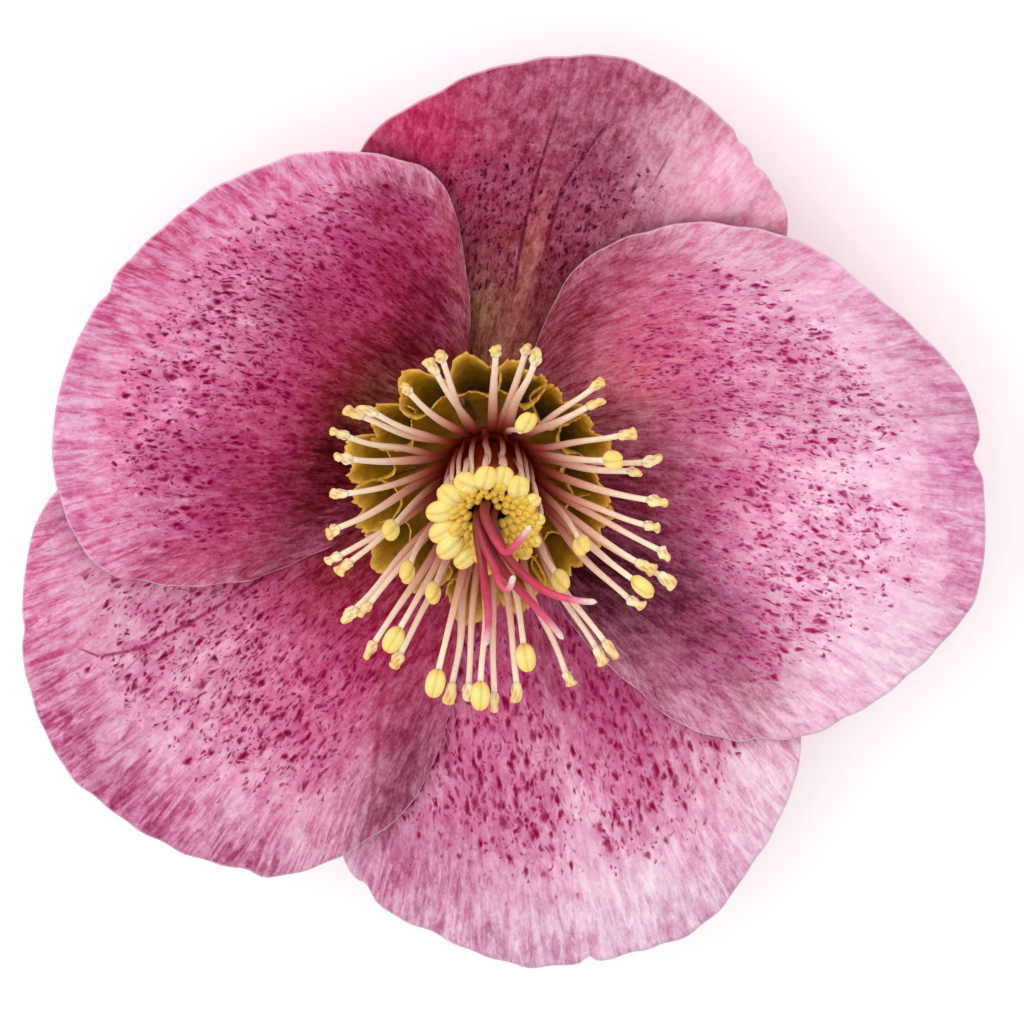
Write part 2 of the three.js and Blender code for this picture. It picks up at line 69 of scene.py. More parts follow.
# Aim: compass angle. Over: whether the clockwise and the anticlockwise margin lie over the
# neighbour. Rim: (degrees off the aim, length) of the veins that end at it. Folds: (degrees off the
# aim, half width in degrees, height at the rim). Nicks: (degrees off the aim, half width in degrees,
# depth) of dents in the rim.
SEPALS = {
    "sepal_1_front": {
        "aim": 281.5,
        "over": (False, False),
        "rim": [
            (-46, 16), (-44, 26), (-36, 30.7), (-28, 33.3), (-17, 35.2), (-7, 37.1),
            (1, 37.4), (14, 37.1), (29, 33.7), (42, 30.3), (49, 25), (51, 16),
        ],
        "folds": [(0, 7, -0.9)],
        "nicks": [(-0.2, 0.6, 0.5), (-31, 1.2, 0.35), (9, 1.5, 0.2)],
    },
    "sepal_2_back": {
        "aim": 76,
        "over": (False, False),
        "rim": [
            (-48, 15), (-46, 24), (-37, 28.7), (-30, 30.7), (-15, 33.3), (0, 34.6),
            (15, 32.2), (30, 29), (37, 27.1), (44, 23), (46, 15),
        ],
        "folds": [(4, 7, 0.7)],
        "nicks": [(-21, 0.8, 0.35), (-25, 1.1, 0.4), (-30, 0.8, 0.2)],
    },
    "sepal_3_front_left": {
        "aim": 216,
        "over": (False, True),
        "rim": [
            (-44, 15), (-44, 26), (-40, 31.7), (-30, 34.1), (-15, 36.4), (0, 37.2),
            (15, 35.2), (30, 32), (45, 26.2), (53, 18.5), (56, 11), (60, 6),
        ],
        "folds": [(30, 8, 1.6)],
        "nicks": [(-22, 1.2, 0.25), (24, 1.5, 0.2)],
    },
    "sepal_4_right": {
        "aim": 2,
        "over": (True, True),
        "rim": [
            (-92, 5.5), (-86, 11.4), (-75, 17.5), (-60, 25.4), (-45, 29.9), (-30, 32.7), (-14, 35.6),
            (0, 35.4), (15, 35.1), (30, 31.9), (45, 29.4), (60, 24.5), (75, 17.5), (87, 8.9), (94, 4.5),
        ],
        "folds": [(4, 8, -0.8)],
        "nicks": [(4, 1.7, 0.7), (-52, 1.6, 0.2)],
    },
    "sepal_5_back_left": {
        "aim": 152,
        "over": (True, True),
        "rim": [
            (-76, 6), (-68, 13), (-60, 23.5), (-45, 28.2), (-30, 30.1), (-15, 30.7), (0, 31.1),
            (15, 31.5), (30, 30.8), (45, 28.2), (60, 20.3), (70, 14.2), (76, 9.5), (80, 6),
        ],
        "folds": [(58, 10, 1)],
        "nicks": [(-2, 1.4, 0.4), (-45, 1.2, 0.2)],
    },
}

NECTARIES = 15
NECTARY_RING = (2.45, 3.35, 3.25, 4.5)
NECTARY_START = (3.15, 3.75)
NECTARY_BEND = (6.0, 4.8)
NECTARY_MOUTH = (8.6, 9.2)
NECTARY_SWAY = np.array([-0.5, 0, 0])
NECTARY_UNEVEN = 0.55
NECTARY_LIP = 1.5
NECTARY_RUFFLE = 0.3
NECTARY_WAVE = 0.45
NECTARY_WAVE_TURN = 3.6
NECTARY_SECTIONS = np.array([(0, 0.62, 0.4), (0.35, 1.05, 0.7), (0.7, 1.6, 1), (1, 2.2, 0.85)])

SPREAD_RING = (2.3, 3.4, 4.8, 5.8)
SPREAD_ROOT = (2.95, 5.3)
SPREAD_BEND = (6.4, 12.6)
SPREAD_END = (12.3, 15.9)
SPREAD_LONGER = 1.5
SPREAD_SWAY = np.array([0.4, -1, 0])
SPENT_STAMENS = 36
GOLDEN_ANGLE = 137.508
SPENT_ANTHER = (1.9, 0.48, 0.38)
# Compass angle, radius and height of the filament's end, and the degrees that the anther nods.
RIPE_STAMENS = [
    (71, 7.3, 15.5, 45), (30, 10.3, 17.2, 0), (345, 7.2, 16, 0), (185, 7.4, 16, 0), (213, 7.4, 16, 0),
    (234, 7.2, 16, 0), (232, 11.4, 17.2, 0), (252, 13, 17.6, 0), (267, 13.5, 17.4, 0),
    (284, 11, 16.4, 0), (337, 12.1, 17.4, 0), (314, 7.4, 14.6, 0),
]
RIPE_ANTHER = (2.4, 0.78, 0.52)

LEAN = -0.05
LEAN_FROM = 6.2
HEAD_OUTLINE = [
    (2.05, 6.2), (2.5, 6.2), (3.3, 11.5), (3.5, 14.4), (3.1, 15.4), (2.5, 14.8), (2.15, 12.8), (2.05, 6.2),
]
BOWED_ROUTE = [(2.7, 8.8), (4.4, 13), (4.0, 16.3)]  # radius and height of root, bend and end
# Count, radius and height of the middle, (length, half width, half thickness), dip inwards, and how
# far the anthers are turned aside at most.
HEAD_RINGS = [
    (15, 3.75, 15.9, (2.4, 0.88, 0.6), 18, 32),
    (12, 2.9, 15.4, (1.6, 0.6, 0.5), 48, 20),
    (10, 2.5, 14.3, (1.4, 0.5, 0.45), 62, 0),
]

CARPEL_FOOT = (1.6, 6.7, 7.6)
CARPEL_RING = 0.8
CARPEL_TOP = 12.6
CARPEL_RADIUS = 0.72
STYLE_RADIUS = 0.45
STYLE_TIP_RADIUS = 0.24
STYLE_CLEARANCE = 1.3
# Compass angle of each pod, and the route of its style above it.
CARPELS = [
    (80, [
        (-0.4, 0.6, 16.2), (0, -0.4, 17.6), (0.8, -1.5, 18.6), (1.4, -1.8, 19), (2.3, -0.7, 19.5),
        (3.2, 0.8, 20),
    ]),
    (152, [
        (-0.9, -0.4, 16.2), (-0.4, -1.7, 17.7), (0.3, -3.1, 18.6), (0.9, -4.6, 18.9), (1.5, -4.8, 19.3),
        (1.9, -3.4, 20),
    ]),
    (224, [
        (-0.95, -0.9, 15.9), (-0.6, -3.3, 17.6), (-0.2, -6.1, 18.1), (-0.1, -8.3, 18.1),
        (-0.3, -10.3, 17.8),
    ]),
    (8, [
        (0.2, -0.3, 15.9), (1.1, -2.3, 17.5), (2.6, -4, 18.2), (4.6, -5.3, 18.8), (6.7, -5.8, 19.2),
        (8.4, -5.8, 19.6),
    ]),
    (296, [(-0.2, -1.1, 15.6), (0.6, -3.3, 17), (2.1, -5.3, 17.6), (4.5, -7.9, 18.1), (5.8, -9.4, 18.6)]),
]

RECEPTACLE_OUTLINE = [
    (0, 0.35), (1.8, 0.35), (2.1, 0.6), (4.3, 0.5), (4.5, 0.75), (4.2, 1.05), (3.1, 1.95), (3.1, 2.8),
    (2.1, 2.95), (1.9, 4.7), (1.6, 6.4), (0, 6.4),
]

# ---- Shape: what the looks add ----

SEPAL_COLUMNS = 170
SEPAL_ROWS = 90
ROW_CROWDING = 1.1  # above 1, the rows stand closer near the claw
BLADE_MIDDLE = 0.69  # blade depth where it is thickest
BLADE_RIM = 0.3
BLADE_THINS_FROM = 0.55  # of the way to the rim
RIPPLE = 0.16  # height of the rim's ripples
RIPPLE_LENGTHS = (9.7, 5.9, 3.4)  # of the waves that make them up, along the rim
ROUND_SIDES = 64  # of what runs round the axis
RING_SECTION_SIDES = 16

# ---- Colours, as hex in sRGB ----

CLAW_TINT = (5, "84602c")  # of every sepal, at this distance from the axis

# The looks of a sepal's upper face:
# - tints: (distance from the axis, colour) beyond the claw. Their dark colours near the centre are partly
#   the sepal's own and partly painted shade in the hollow round the nectaries.
# - patches of another tint: (compass angle, distance from the axis, reach outwards, reach across,
#   colour, strength). Some are painted shade or a painted highlight, as marked in the lists.
# - speckles: the shares of the way to the rim where they start, are densest, thin out and end, and
#   their density.
# - speckled_between: degrees off the sepal's aim.
# - speckle_size: against the sizes in SPECKLE_SIZES.
# - midrib: its degrees off the aim, and how far the speckles leave it bare.
# - speckle: colour of the speckles, and of the dark lines of painted shade along creases and veins.
# - veins: ([(compass angle, distance from the axis), ...], half width, strength), three at most: dark lines
#   of painted shade along creases and veins.
# - streaks: strength of the streaks square to the rim.
LOOKS = {
    "sepal_1_front": {
        "tints": [
            (9, "9a3456"), (16, "c85c84"), (22, "e88cb3"), (28, "ecaecb"), (34, "e2aac7"), (38, "d6a6c1"),
        ],
        "patches": [
            # (288, 36) is partly the sepal's own paler tip and partly a painted highlight on the fold near
            # the notch.
            (288, 36, 4, 6, "e6c8d8", 0.7), (274, 30, 5, 5, "ce84a8", 0.6),
            (283.5, 31, 8, 1.1, "e8c2d4", 0.3), (267, 33, 6, 3, "be6e96", 0.6),
            # (301, 25) is painted shadow from the right sepal's margin that lies over this one.
            (301, 25, 6, 5, "ba5682", 0.8), (257, 33, 5, 4, "bc628c", 0.9),
            (289, 21.5, 3.5, 5, "a2486a", 0.5), (311, 34, 4, 5, "e6c4d4", 0.8),
            (284, 17.5, 3, 3, "963450", 0.6),
        ],
        "speckles": (0.1, 0.34, 0.68, 1.0, 1.12),
        "speckled_between": (-40, 52),
        "speckle_size": 1.25,
        "midrib": (2.5, 0.4),
        "speckle": "98124c",
        "veins": [],
        "streaks": 0.8,
    },
    "sepal_2_back": {
        "tints": [
            (9, "8a463a"), (14, "944442"), (20, "a63e58"), (27, "a4415f"), (34, "ac4c6c"),
        ],
        "patches": [
            (100, 31, 8, 5, "c63664", 0.95), (54, 32, 8, 8, "f6b8d2", 0.95),
            (79.5, 15, 8, 0.65, "c47668", 0.7), (70, 16, 7, 2.2, "8a3244", 0.7),
            (73, 28, 5, 4, "963c5a", 0.7), (72, 22, 3, 3, "ba5c74", 0.5), (86, 16, 5, 2, "a25c56", 0.5),
            (108, 12, 6, 2.6, "78182e", 0.8), (94, 12, 4, 1.6, "a66e54", 0.75),
        ],
        "speckles": (0.15, 0.4, 0.64, 0.94, 1.05),
        "speckled_between": (-18, 40),
        "speckle_size": 0.95,
        "midrib": (3, 0.6),
        "speckle": "620e2e",
        # Dark lines of painted shade along the veins' creases.
        "veins": [
            ([(82, 12.7), (81.8, 23.7), (80.5, 33.1)], 0.12, 0.8),
            ([(76, 18), (76.8, 24.2), (73.2, 32.2)], 0.12, 0.8),
            ([(63, 28.4), (63.6, 32.2)], 0.1, 0.6),
        ],
        "streaks": 0.42,
    },
    "sepal_3_front_left": {
        "tints": [
            (9, "600c1e"), (13, "841a36"), (17, "b63258"), (23, "e06e98"), (29, "f3b6d2"), (34, "de99bb"),
            (38, "d278a4"),
        ],
        "patches": [
            (194, 36, 3.5, 7, "dc7ca8", 0.85), (224, 39, 2.5, 12, "ae4e7c", 0.8),
            # (254.5, 28) is painted shade on the folded-up margin strip beyond the crease, which faces away
            # from the light.
            (254.5, 28, 12, 4, "842e4c", 0.97), (240, 28, 6, 5, "c86c94", 0.6),
            (240, 37, 3, 3, "d6a0b4", 0.6), (214, 26, 4, 7, "f4b2cc", 0.6), (238, 37, 4, 5, "b25884", 0.7),
            (201, 32, 5, 5, "e2a2be", 0.6), (237, 17, 5, 6, "a82850", 0.6), (220, 15, 5, 5, "842822", 0.7),
        ],
        "speckles": (0.1, 0.34, 0.68, 1.02, 1.12),
        "speckled_between": (-44, 36),
        "speckle_size": 1.0,
        "midrib": (0, 0),
        "speckle": "94104a",
        # Dark lines of painted shade: two along the curved scar-like crease, one along the fold's crease.
        "veins": [
            ([(209.1, 20), (207.2, 27.5), (206.1, 31), (203.8, 34.2), (199.7, 35.8)], 0.14, 0.8),
            ([(206.4, 30.4), (207.9, 33.4)], 0.09, 0.5),
            ([(243, 17), (245, 20), (249, 26), (253, 34)], 0.22, 0.5),
        ],
        "streaks": 0.9,
    },
    "sepal_4_right": {
        "tints": [
            (9, "782234"), (13, "b24c6a"), (17, "e082a8"), (22, "fcb6d8"), (28, "fbd8eb"), (33, "ecb6d3"),
            (37, "d892b7"),
        ],
        "patches": [
            (46, 28, 7, 8, "e28eb4", 0.6), (59, 20, 7, 5, "be5478", 0.85), (38, 14, 6, 6, "e4708c", 0.85),
            (61, 15, 8, 3, "92364e", 0.72), (24, 36, 4, 4, "c47496", 0.5), (48, 32, 4, 5, "ce789e", 0.5),
            (22, 13, 4, 3.5, "ea8698", 0.7), (18, 25.5, 2.5, 5, "ce6892", 0.5),
            (48, 20, 5, 5, "ce5c82", 0.35), (324, 26, 4, 4, "d682a4", 0.5),
            # (312, 18), (320, 22), (311, 23.5), (318, 15) and (306, 12.5) are painted shade, low on the left
            # by the centre and by the margin that lies over the front sepal.
            (312, 18, 3.5, 3.5, "500824", 0.6), (0, 19, 5, 4, "e292b2", 0.5),
            (320, 22, 7, 6, "8e2c4c", 0.85), (311, 23.5, 7, 5, "962e4e", 0.85),
            (318, 15, 7, 6.5, "4c041c", 0.95), (306, 12.5, 4, 3.5, "3e000c", 0.9),
            (311, 27, 7, 3.5, "cc7aa0", 0.7), (338, 35, 4, 6, "e8cada", 0.85),
            (5, 38, 2.5, 2, "c85c9c", 0.7), (12, 10, 3, 6, "823c3a", 0.5), (351, 13.5, 5, 4, "882c40", 0.6),
            (60, 12, 4, 3, "80202c", 0.6),
        ],
        "speckles": (0.12, 0.42, 0.74, 1.0, 1.0),
        "speckled_between": (-60, 56),
        "speckle_size": 0.96,
        "midrib": (-1, 0.35),
        "speckle": "a61e60",
        # A dark line of painted shade along the midline.
        "veins": [([(357, 14), (0.5, 20), (1.4, 26)], 0.1, 0.4)],
        "streaks": 0.62,
    },
    "sepal_5_back_left": {
        "tints": [
            (9, "762822"), (14, "b0364c"), (19, "e2628e"), (25, "ffa6d5"), (30, "f19bc4"), (33, "e092bc"),
        ],
        "patches": [
            (166, 10, 4, 5, "7a3e22", 0.9), (116, 11, 5, 5, "680a1e", 0.85),
            (146, 22.5, 4, 5, "ffbedc", 0.6), (130, 21, 5, 4, "be406a", 0.5),
            (181, 21, 6, 6, "9e284e", 0.8), (191, 28, 4, 5, "ce709c", 0.6),
            # (190, 11.5), (198, 15.5), (196, 24) and (207, 20) are painted shade in the hollow along the
            # lower margin, deepest by the centre.
            (190, 11.5, 4.5, 6.5, "440004", 0.92), (198, 15.5, 7, 4, "5c0008", 0.97),
            (139, 19, 4, 3, "922242", 0.5), (196, 24, 6, 3, "b83e68", 0.9),
            (207, 20, 9, 1.8, "963c58", 0.8), (97, 19, 9, 2.6, "cc7286", 0.85),
            (110, 21, 7, 6, "a62e54", 0.88), (108, 25, 3, 3, "962448", 0.7),
            (109, 15, 4, 2.5, "701028", 0.7), (140, 34, 4, 10, "d65e90", 0.8),
            (112, 31, 3, 8, "de74a4", 0.6),
        ],
        "speckles": (0.1, 0.36, 0.74, 1.02, 1.1),
        "speckled_between": (-62, 54),
        "speckle_size": 1.0,
        "midrib": (0, 0),
        "speckle": "940844",
        "veins": [],
        "streaks": 0.85,
    },
}
PALE_EDGE = "f0d0dc"
# Of all sepals: (distance from the axis, colour).
UNDERSIDE = [(4, "96a05c"), (12, "b08c78"), (24, "ce88a4"), (38, "dea4be")]

# Small organs, from root to tip: (share of the length, colour). The core of the head and the
# receptacle have the height in place of the share.
NECTARY_TINTS = [(0, "be801e"), (0.5, "b28a18"), (0.82, "b08816"), (0.93, "d6a228"), (1, "eab642")]
NECTARY_INSIDE = [(0, "96680c"), (0.6, "9e7810"), (0.86, "aa8216"), (0.94, "d4a228"), (1, "ecba44")]
NECTARY_RING_TINT = "826c18"
FILAMENT_TINTS = [
    (0, "881006"), (0.16, "962016"), (0.34, "b25444"), (0.55, "dea48c"), (0.8, "f8dac0"), (1, "fceace"),
]
SPREAD_RING_TINT = "961408"
RIPE_TINTS = [(0, "f8d46e"), (0.5, "ffea92"), (1, "f8d068")]
SPENT_TINTS = [(0, "fcf0ce"), (0.4, "fae6ac"), (1, "f4d284")]
SPENT_FOLD_TINT = "d89c4c"
BOWED_TINTS = [(0, "96180e"), (0.3, "ac3c2e"), (0.52, "dca08a"), (0.72, "f2d4be"), (1, "f8eac8")]
BEAD_TINTS = [(0, "eec042"), (0.5, "fcdc6a"), (1, "f0c24a")]
CORE_TINTS = [(6, "8c140a"), (12.5, "963016"), (13.5, "be7e28"), (15.5, "e4b440")]
STYLE_TINTS = [
    (0, "601a18"), (0.35, "761c22"), (0.52, "a01e34"), (0.7, "cc2854"), (0.86, "e0507a"), (0.95, "f0bec0"),
    (1, "fceee4"),
]
POD_TINT = "6e3222"
RECEPTACLE_TINTS = [(0, "78843e"), (0.7, "7c7a32"), (1.1, "905c1e"), (6.4, "8c2814")]
FLOOR_TINT = "fafaf9"

# ---- Helpers: numbers ----


def scatter(i, salt):
    """A fixed draw between -1 and 1 for item i of the draw named by salt."""
    s = math.sin(i * 12.9898 + salt * 78.233) * 43758.5453
    return 2 * (s - math.floor(s)) - 1


def smooth(x, low, high):
    t = np.clip((x - low) / (high - low), 0, 1)
    return t * t * (3 - 2 * t)


def between(a, b, share):
    """The value that is a share of the way from a to b."""
    return a + (b - a) * share


def shares(count):
    """Even steps from 0 to 1."""
    return np.linspace(0, 1, count)


def turns(sides):
    """Even turns round a circle, in radians."""
    return 2 * np.pi * np.arange(sides) / sides


def vectors(x, y, z=0.0):
    return np.stack(np.broadcast_arrays(x, y, z), axis=-1).astype(float)


def polar(angle, radius, z=0.0):
    """A point at a compass angle (degrees), distance from the axis and height."""
    turn = np.radians(angle)
    return vectors(radius * np.cos(turn), radius * np.sin(turn), z)


def linear(colour):
    """A hex sRGB colour as linear light."""
    c = np.array(list(bytes.fromhex(colour))) / 255
    return np.where(c <= 0.04045, c / 12.92, ((c + 0.055) / 1.055) ** 2.4)


def socket_colour(colour):
    return (*linear(colour), 1.0)


def tints_at(stops, where):
    """Linear colours at places along a list of (place, colour) stops."""
    places = [place for place, _ in stops]
    channels = np.transpose([linear(colour) for _, colour in stops])
    return np.stack([np.interp(where, places, channel) for channel in channels], axis=-1)


def spline(points, steps=24):
    """Points along a Catmull-Rom spline, drawn on straight beyond its two ends."""
    p = np.asarray(points, float)
    p = np.vstack([2 * p[0] - p[1], p, 2 * p[-1] - p[-2]])
    t = np.linspace(0, 1, steps, endpoint=False)[:, None]
    runs = [
        0.5 * (2 * b + (c - a) * t + (2 * a - 5 * b + 4 * c - d) * t**2 + (3 * b - a - 3 * c + d) * t**3)
        for a, b, c, d in zip(p[:-3], p[1:-2], p[2:-1], p[3:])
    ]
    return np.vstack([*runs, p[-2:-1]])


def bezier(a, b, c, steps=40):
    t = shares(steps + 1)[:, None]
    return (1 - t) ** 2 * a + 2 * t * (1 - t) * b + t**2 * c


def travelled(path):
    """How far along a path each of its points is."""
    return np.concatenate([[0], np.cumsum(np.linalg.norm(np.diff(path, axis=0), axis=1))])


def along(path, share):
    """Places on a path at shares of its length."""
    run = travelled(path)
    at = share * run[-1]
    return np.stack([np.interp(at, run, path[:, k]) for k in range(path.shape[1])], axis=-1)


def unit(v):
    return v / np.linalg.norm(v, axis=-1, keepdims=True)


# ---- Helpers: meshes ----


def new_object(name, data):
    """A new object in the scene."""
    thing = bpy.data.objects.new(name, data)
    bpy.context.scene.collection.objects.link(thing)
    return thing


def mesh_piece(name, points, faces, layers):
    """A mesh object from points in millimetres, faces, and named vectors for each point."""
    mesh = bpy.data.meshes.new(name)
    placed = np.reshape(points, (-1, 3)) * MM + np.array(AXIS)
    mesh.from_pydata(placed.tolist(), [], faces)
    for key, values in layers.items():
        values = np.reshape(values, (-1, 3))
        kind, field = "FLOAT_VECTOR", "vector"
        if key == "tint":
            kind, field = "FLOAT_COLOR", "color"
            values = np.column_stack([values, np.ones(len(values))])
        attribute = mesh.attributes.new(key, kind, "POINT")
        attribute.data.foreach_set(field, values.astype(np.float32).ravel())
    mesh.polygons.foreach_set("use_smooth", [True] * len(mesh.polygons))
    mesh.update()
    return new_object(name, mesh)


def stand_for(piece, node, material):
    """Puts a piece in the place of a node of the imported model."""
    piece.data.materials.append(material)
    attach(piece, "root")
    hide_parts(node)


class Skin:
    """Closed skins over rings of points, gathered into one mesh, with a tint for each point."""

    def __init__(self):
        self.points, self.tints, self.faces = [], [], []
        self.count = 0

    def add(self, rings, tints):
        """A skin over rings. Tints: one, or one for each ring, or one for each point."""
        rows, sides, _ = rings.shape
        at = self.count + np.arange(rows * sides).reshape(rows, sides)
        a, b = at[:-1], np.roll(at, -1, axis=1)[:-1]
        c, d = np.roll(at, -1, axis=1)[1:], at[1:]
        self.faces += np.stack([a, b, c, d], axis=-1).reshape(-1, 4).tolist()
        self.faces += [at[0, ::-1].tolist(), at[-1].tolist()]
        self.points.append(rings.reshape(-1, 3))
        tints = tints[:, None] if tints.ndim == 2 else tints
        self.tints.append(np.broadcast_to(tints, rings.shape).reshape(-1, 3))
        self.count += rows * sides

    def lean(self):
        self.points = [leant(points) for points in self.points]

    def piece(self, name):
        return mesh_piece(name, np.vstack(self.points), self.faces, {"tint": np.vstack(self.tints)})


def leant(point):
    """A point of the head or the carpels, moved by their lean."""
    return point + np.array([0, 1, 0]) * LEAN * np.maximum(0, point[..., 2:] - LEAN_FROM)


def aside_and_up(across, up, wide, high):
    """Steps along two unit vectors for each ring, so wide and so high for each of its points."""
    return wide[..., None] * across[:, None] + high[..., None] * up[:, None]


def ovals(centres, across, up, half_widths, half_heights, sides):
    """Rings of points round centres, each in the plane of two unit vectors."""
    wide = half_widths[:, None] * np.cos(turns(sides))
    high = half_heights[:, None] * np.sin(turns(sides))
    return centres[:, None] + aside_and_up(across, up, wide, high)


def turned(outline, sides):
    """A closed outline of radii and heights, repeated at even turns the whole way round the axis."""
    radius, height = outline.T
    return polar(360 * np.arange(sides + 1)[:, None] / sides, radius, height)


def stacked(outline, sides):
    """Level circles round the axis, one for each radius and height of an outline."""
    radius, height = outline.T[:, :, None]
    return polar(360 * np.arange(sides) / sides, radius, height)


def ring_of(inner, outer, bottom, top):
    """A round-edged ring round the axis."""
    turn = turns(RING_SECTION_SIDES)
    radius = (inner + outer) / 2 + (outer - inner) / 2 * np.cos(turn)
    height = (bottom + top) / 2 + (top - bottom) / 2 * np.sin(turn)
    return turned(np.column_stack([radius, height]), ROUND_SIDES)


def directions(path):
    return unit(np.gradient(path, axis=0))


def level_axes(direction):
    """Unit vectors across directions, the first ones level."""
    across = unit(np.cross([0, 0, 1], direction))
    return across, unit(np.cross(direction, across))


def carried_axes(direction):
    """Unit vectors across the directions of a path, carried along it without twist."""
    across = [unit(np.cross(direction[0], [0.3, 1, 0.1]))]
    for step in direction[1:]:
        across.append(unit(across[-1] - np.dot(across[-1], step) * step))
    across = np.array(across)
    return across, unit(np.cross(direction, across))


# ---- Sepals: shape ----


def bowl_height(radius):
    inward = np.clip((BOWL_LOW_RADIUS - radius) / (BOWL_LOW_RADIUS - CLAW_RADIUS), 0, 1)
    return BOWL_LOW + BOWL_RISE * smooth(radius, BOWL_LOW_RADIUS, BOWL_RIM_RADIUS) + CLAW_RISE * inward**2


def over_lift(sepal, radius, off_midline):
    """How much higher the margins stand that lie over a neighbour."""
    start = OVER_FROM[0] + OVER_FROM[1] * radius
    full = OVER_FULL[0] + OVER_FULL[1] * radius
    is_over = np.where(off_midline < 0, *map(float, sepal["over"]))
    return OVER_LIFT * is_over * smooth(np.abs(off_midline), start, full)


def bumps(off, places):
    """The sum of rounded bumps, each (place, half width, height)."""
    total = np.zeros_like(off)
    for at, width, height in places:
        total += height * np.exp(-(((off - at) / width) ** 2))
    return total


def sepal_fan(sepal):
    """The rim, and for its veins their degrees off the aim and their lengths."""
    claw = polar(sepal["aim"], CLAW_RADIUS)
    points = [polar(sepal["aim"] + off, length) + claw for off, length in sepal["rim"]]
    rim = along(spline(points), shares(SEPAL_COLUMNS + 1))
    turn, length = fan_of(sepal, rim)
    off = np.degrees(turn)
    return rim - unit(rim - claw) * bumps(off, sepal["nicks"])[:, None], off, length


def fan_of(sepal, points):
    """The turn (radians off the aim) and the length of the veins that end at points."""
    vein = points - polar(sepal["aim"], CLAW_RADIUS)
    forward, side = polar(sepal["aim"], 1), polar(sepal["aim"] + 90, 1)
    return np.arctan2(vein @ side, vein @ forward), np.linalg.norm(vein[..., :2], axis=-1)


def rim_ripple(rim_run, seed):
    waves = [rim_run / wave + scatter(seed, k) for k, wave in enumerate(RIPPLE_LENGTHS)]
    return RIPPLE * sum(np.sin(2 * np.pi * wave) for wave in waves)


def upper_face(sepal, rim, off, outward):
    """The bowl's part that a sepal covers, from its claw to its rim, with its lifted margins and folds."""
    side = polar(sepal["aim"] + 90, 1)
    across = np.linspace(-1, 1, SEPAL_COLUMNS + 1)
    claw = polar(sepal["aim"], CLAW_RADIUS) + across[:, None] * CLAW_HALF_WIDTH * side
    place = between(claw, rim, outward[..., None])
    radius = np.linalg.norm(place[..., :2], axis=-1)
    height = bowl_height(radius) + over_lift(sepal, radius, place @ side)
    height += bumps(off, sepal["folds"]) * outward**2
    return vectors(place[..., 0], place[..., 1], height)


def sepal_piece(name, seed):
    sepal, look = SEPALS[name], LOOKS[name]
    rim, off, length = sepal_fan(sepal)
    rim_run = travelled(rim)
    outward = shares(SEPAL_ROWS + 1)[:, None] ** ROW_CROWDING
    upper = upper_face(sepal, rim, off, outward)
    upper[..., 2] += rim_ripple(rim_run, seed) * outward**4
    lower = upper.copy()
    lower[..., 2] -= between(BLADE_MIDDLE, BLADE_RIM, smooth(outward, BLADE_THINS_FROM, 1))
    lower[..., 2] = np.maximum(lower[..., 2], 0)

    fan, rim_place = fan_places(off, length, rim_run, outward, seed)
    marks = sepal_marks(look, outward, off)
    gaps = shaded_crease_gaps(name, upper)
    layers = {
        "tint": [sepal_tint(look, upper), tints_at(UNDERSIDE, np.linalg.norm(upper[..., :2], axis=-1))],
        "fan": [fan, fan],
        "rim_place": [rim_place, rim_place],
        "marks": [marks, marks * UNDERSIDE_MARKS],
        "shaded_crease_gaps": [gaps, gaps],
    }
    return mesh_piece("bloom_" + name, [upper, lower], blade_faces(), layers)


def blade_faces():
    """Quads of a blade's upper face, its lower face and the edge between them."""
    row = SEPAL_COLUMNS + 1
    under = row * (SEPAL_ROWS + 1)
    at = np.arange(under).reshape(SEPAL_ROWS + 1, row)
    a, b, c, d = at[:-1, :-1], at[1:, :-1], at[1:, 1:], at[:-1, 1:]
    top = np.stack([a, b, c, d], axis=-1).reshape(-1, 4)
    bottom = top[:, ::-1] + under
    edge = np.concatenate([at[0, :-1], at[:-1, -1], at[-1, :0:-1], at[:0:-1, 0]])
    following = np.roll(edge, -1)
    sides = np.stack([edge, following, following + under, edge + under], axis=-1)
    return np.vstack([top, bottom, sides]).tolist()


# ---- Sepals: what their material reads ----

# Where a millimetre of the fan layer is a millimetre across the veins. Inside it they are squeezed, by
# the root of their share of the way.
FAN_RADIUS = 31
APART = 60  # between the sepals' places in the patterns, so that each has its own
SPECKLE_FADE = 12  # degrees over which the speckles begin and end sideways, to either side
MIDRIB_WIDTH = 2.5  # in degrees
STREAKS_FROM = (0.7, 0.95)  # shares of the way to the rim where its streaks start and are full
UNDERSIDE_MARKS = (0, 0.5, 0)  # no speckles, and half the streaks
FAR_FROM_SHADED_CREASES = 9.0  # the gap to a line of painted crease shade that a sepal doesn't have


def fan_places(off, length, rim_run, outward, seed):
    """Places across and along the veins from the claw, and along and in from the rim."""
    outwards = length * outward
    across = np.radians(off) * np.sqrt(FAN_RADIUS * outwards) + APART * seed
    return vectors(across, outwards), vectors(rim_run + APART * seed, length * (1 - outward))


def sepal_tint(look, place):
    """The tint of each place of a sepal's upper face, with its patches, which include painted shade and a
    painted highlight.
    """
    radius = np.linalg.norm(place[..., :2], axis=-1)
    compass = np.degrees(np.arctan2(place[..., 1], place[..., 0]))
    tint = tints_at([CLAW_TINT, *look["tints"]], radius)
    for angle, distance, reach_out, reach_across, colour, strength in look["patches"]:
        sideways = np.radians((compass - angle + 180) % 360 - 180) * radius
        far = ((radius - distance) / reach_out) ** 2 + (sideways / reach_across) ** 2
        tint = between(tint, linear(colour), (strength * np.exp(-far))[..., None])
    return tint


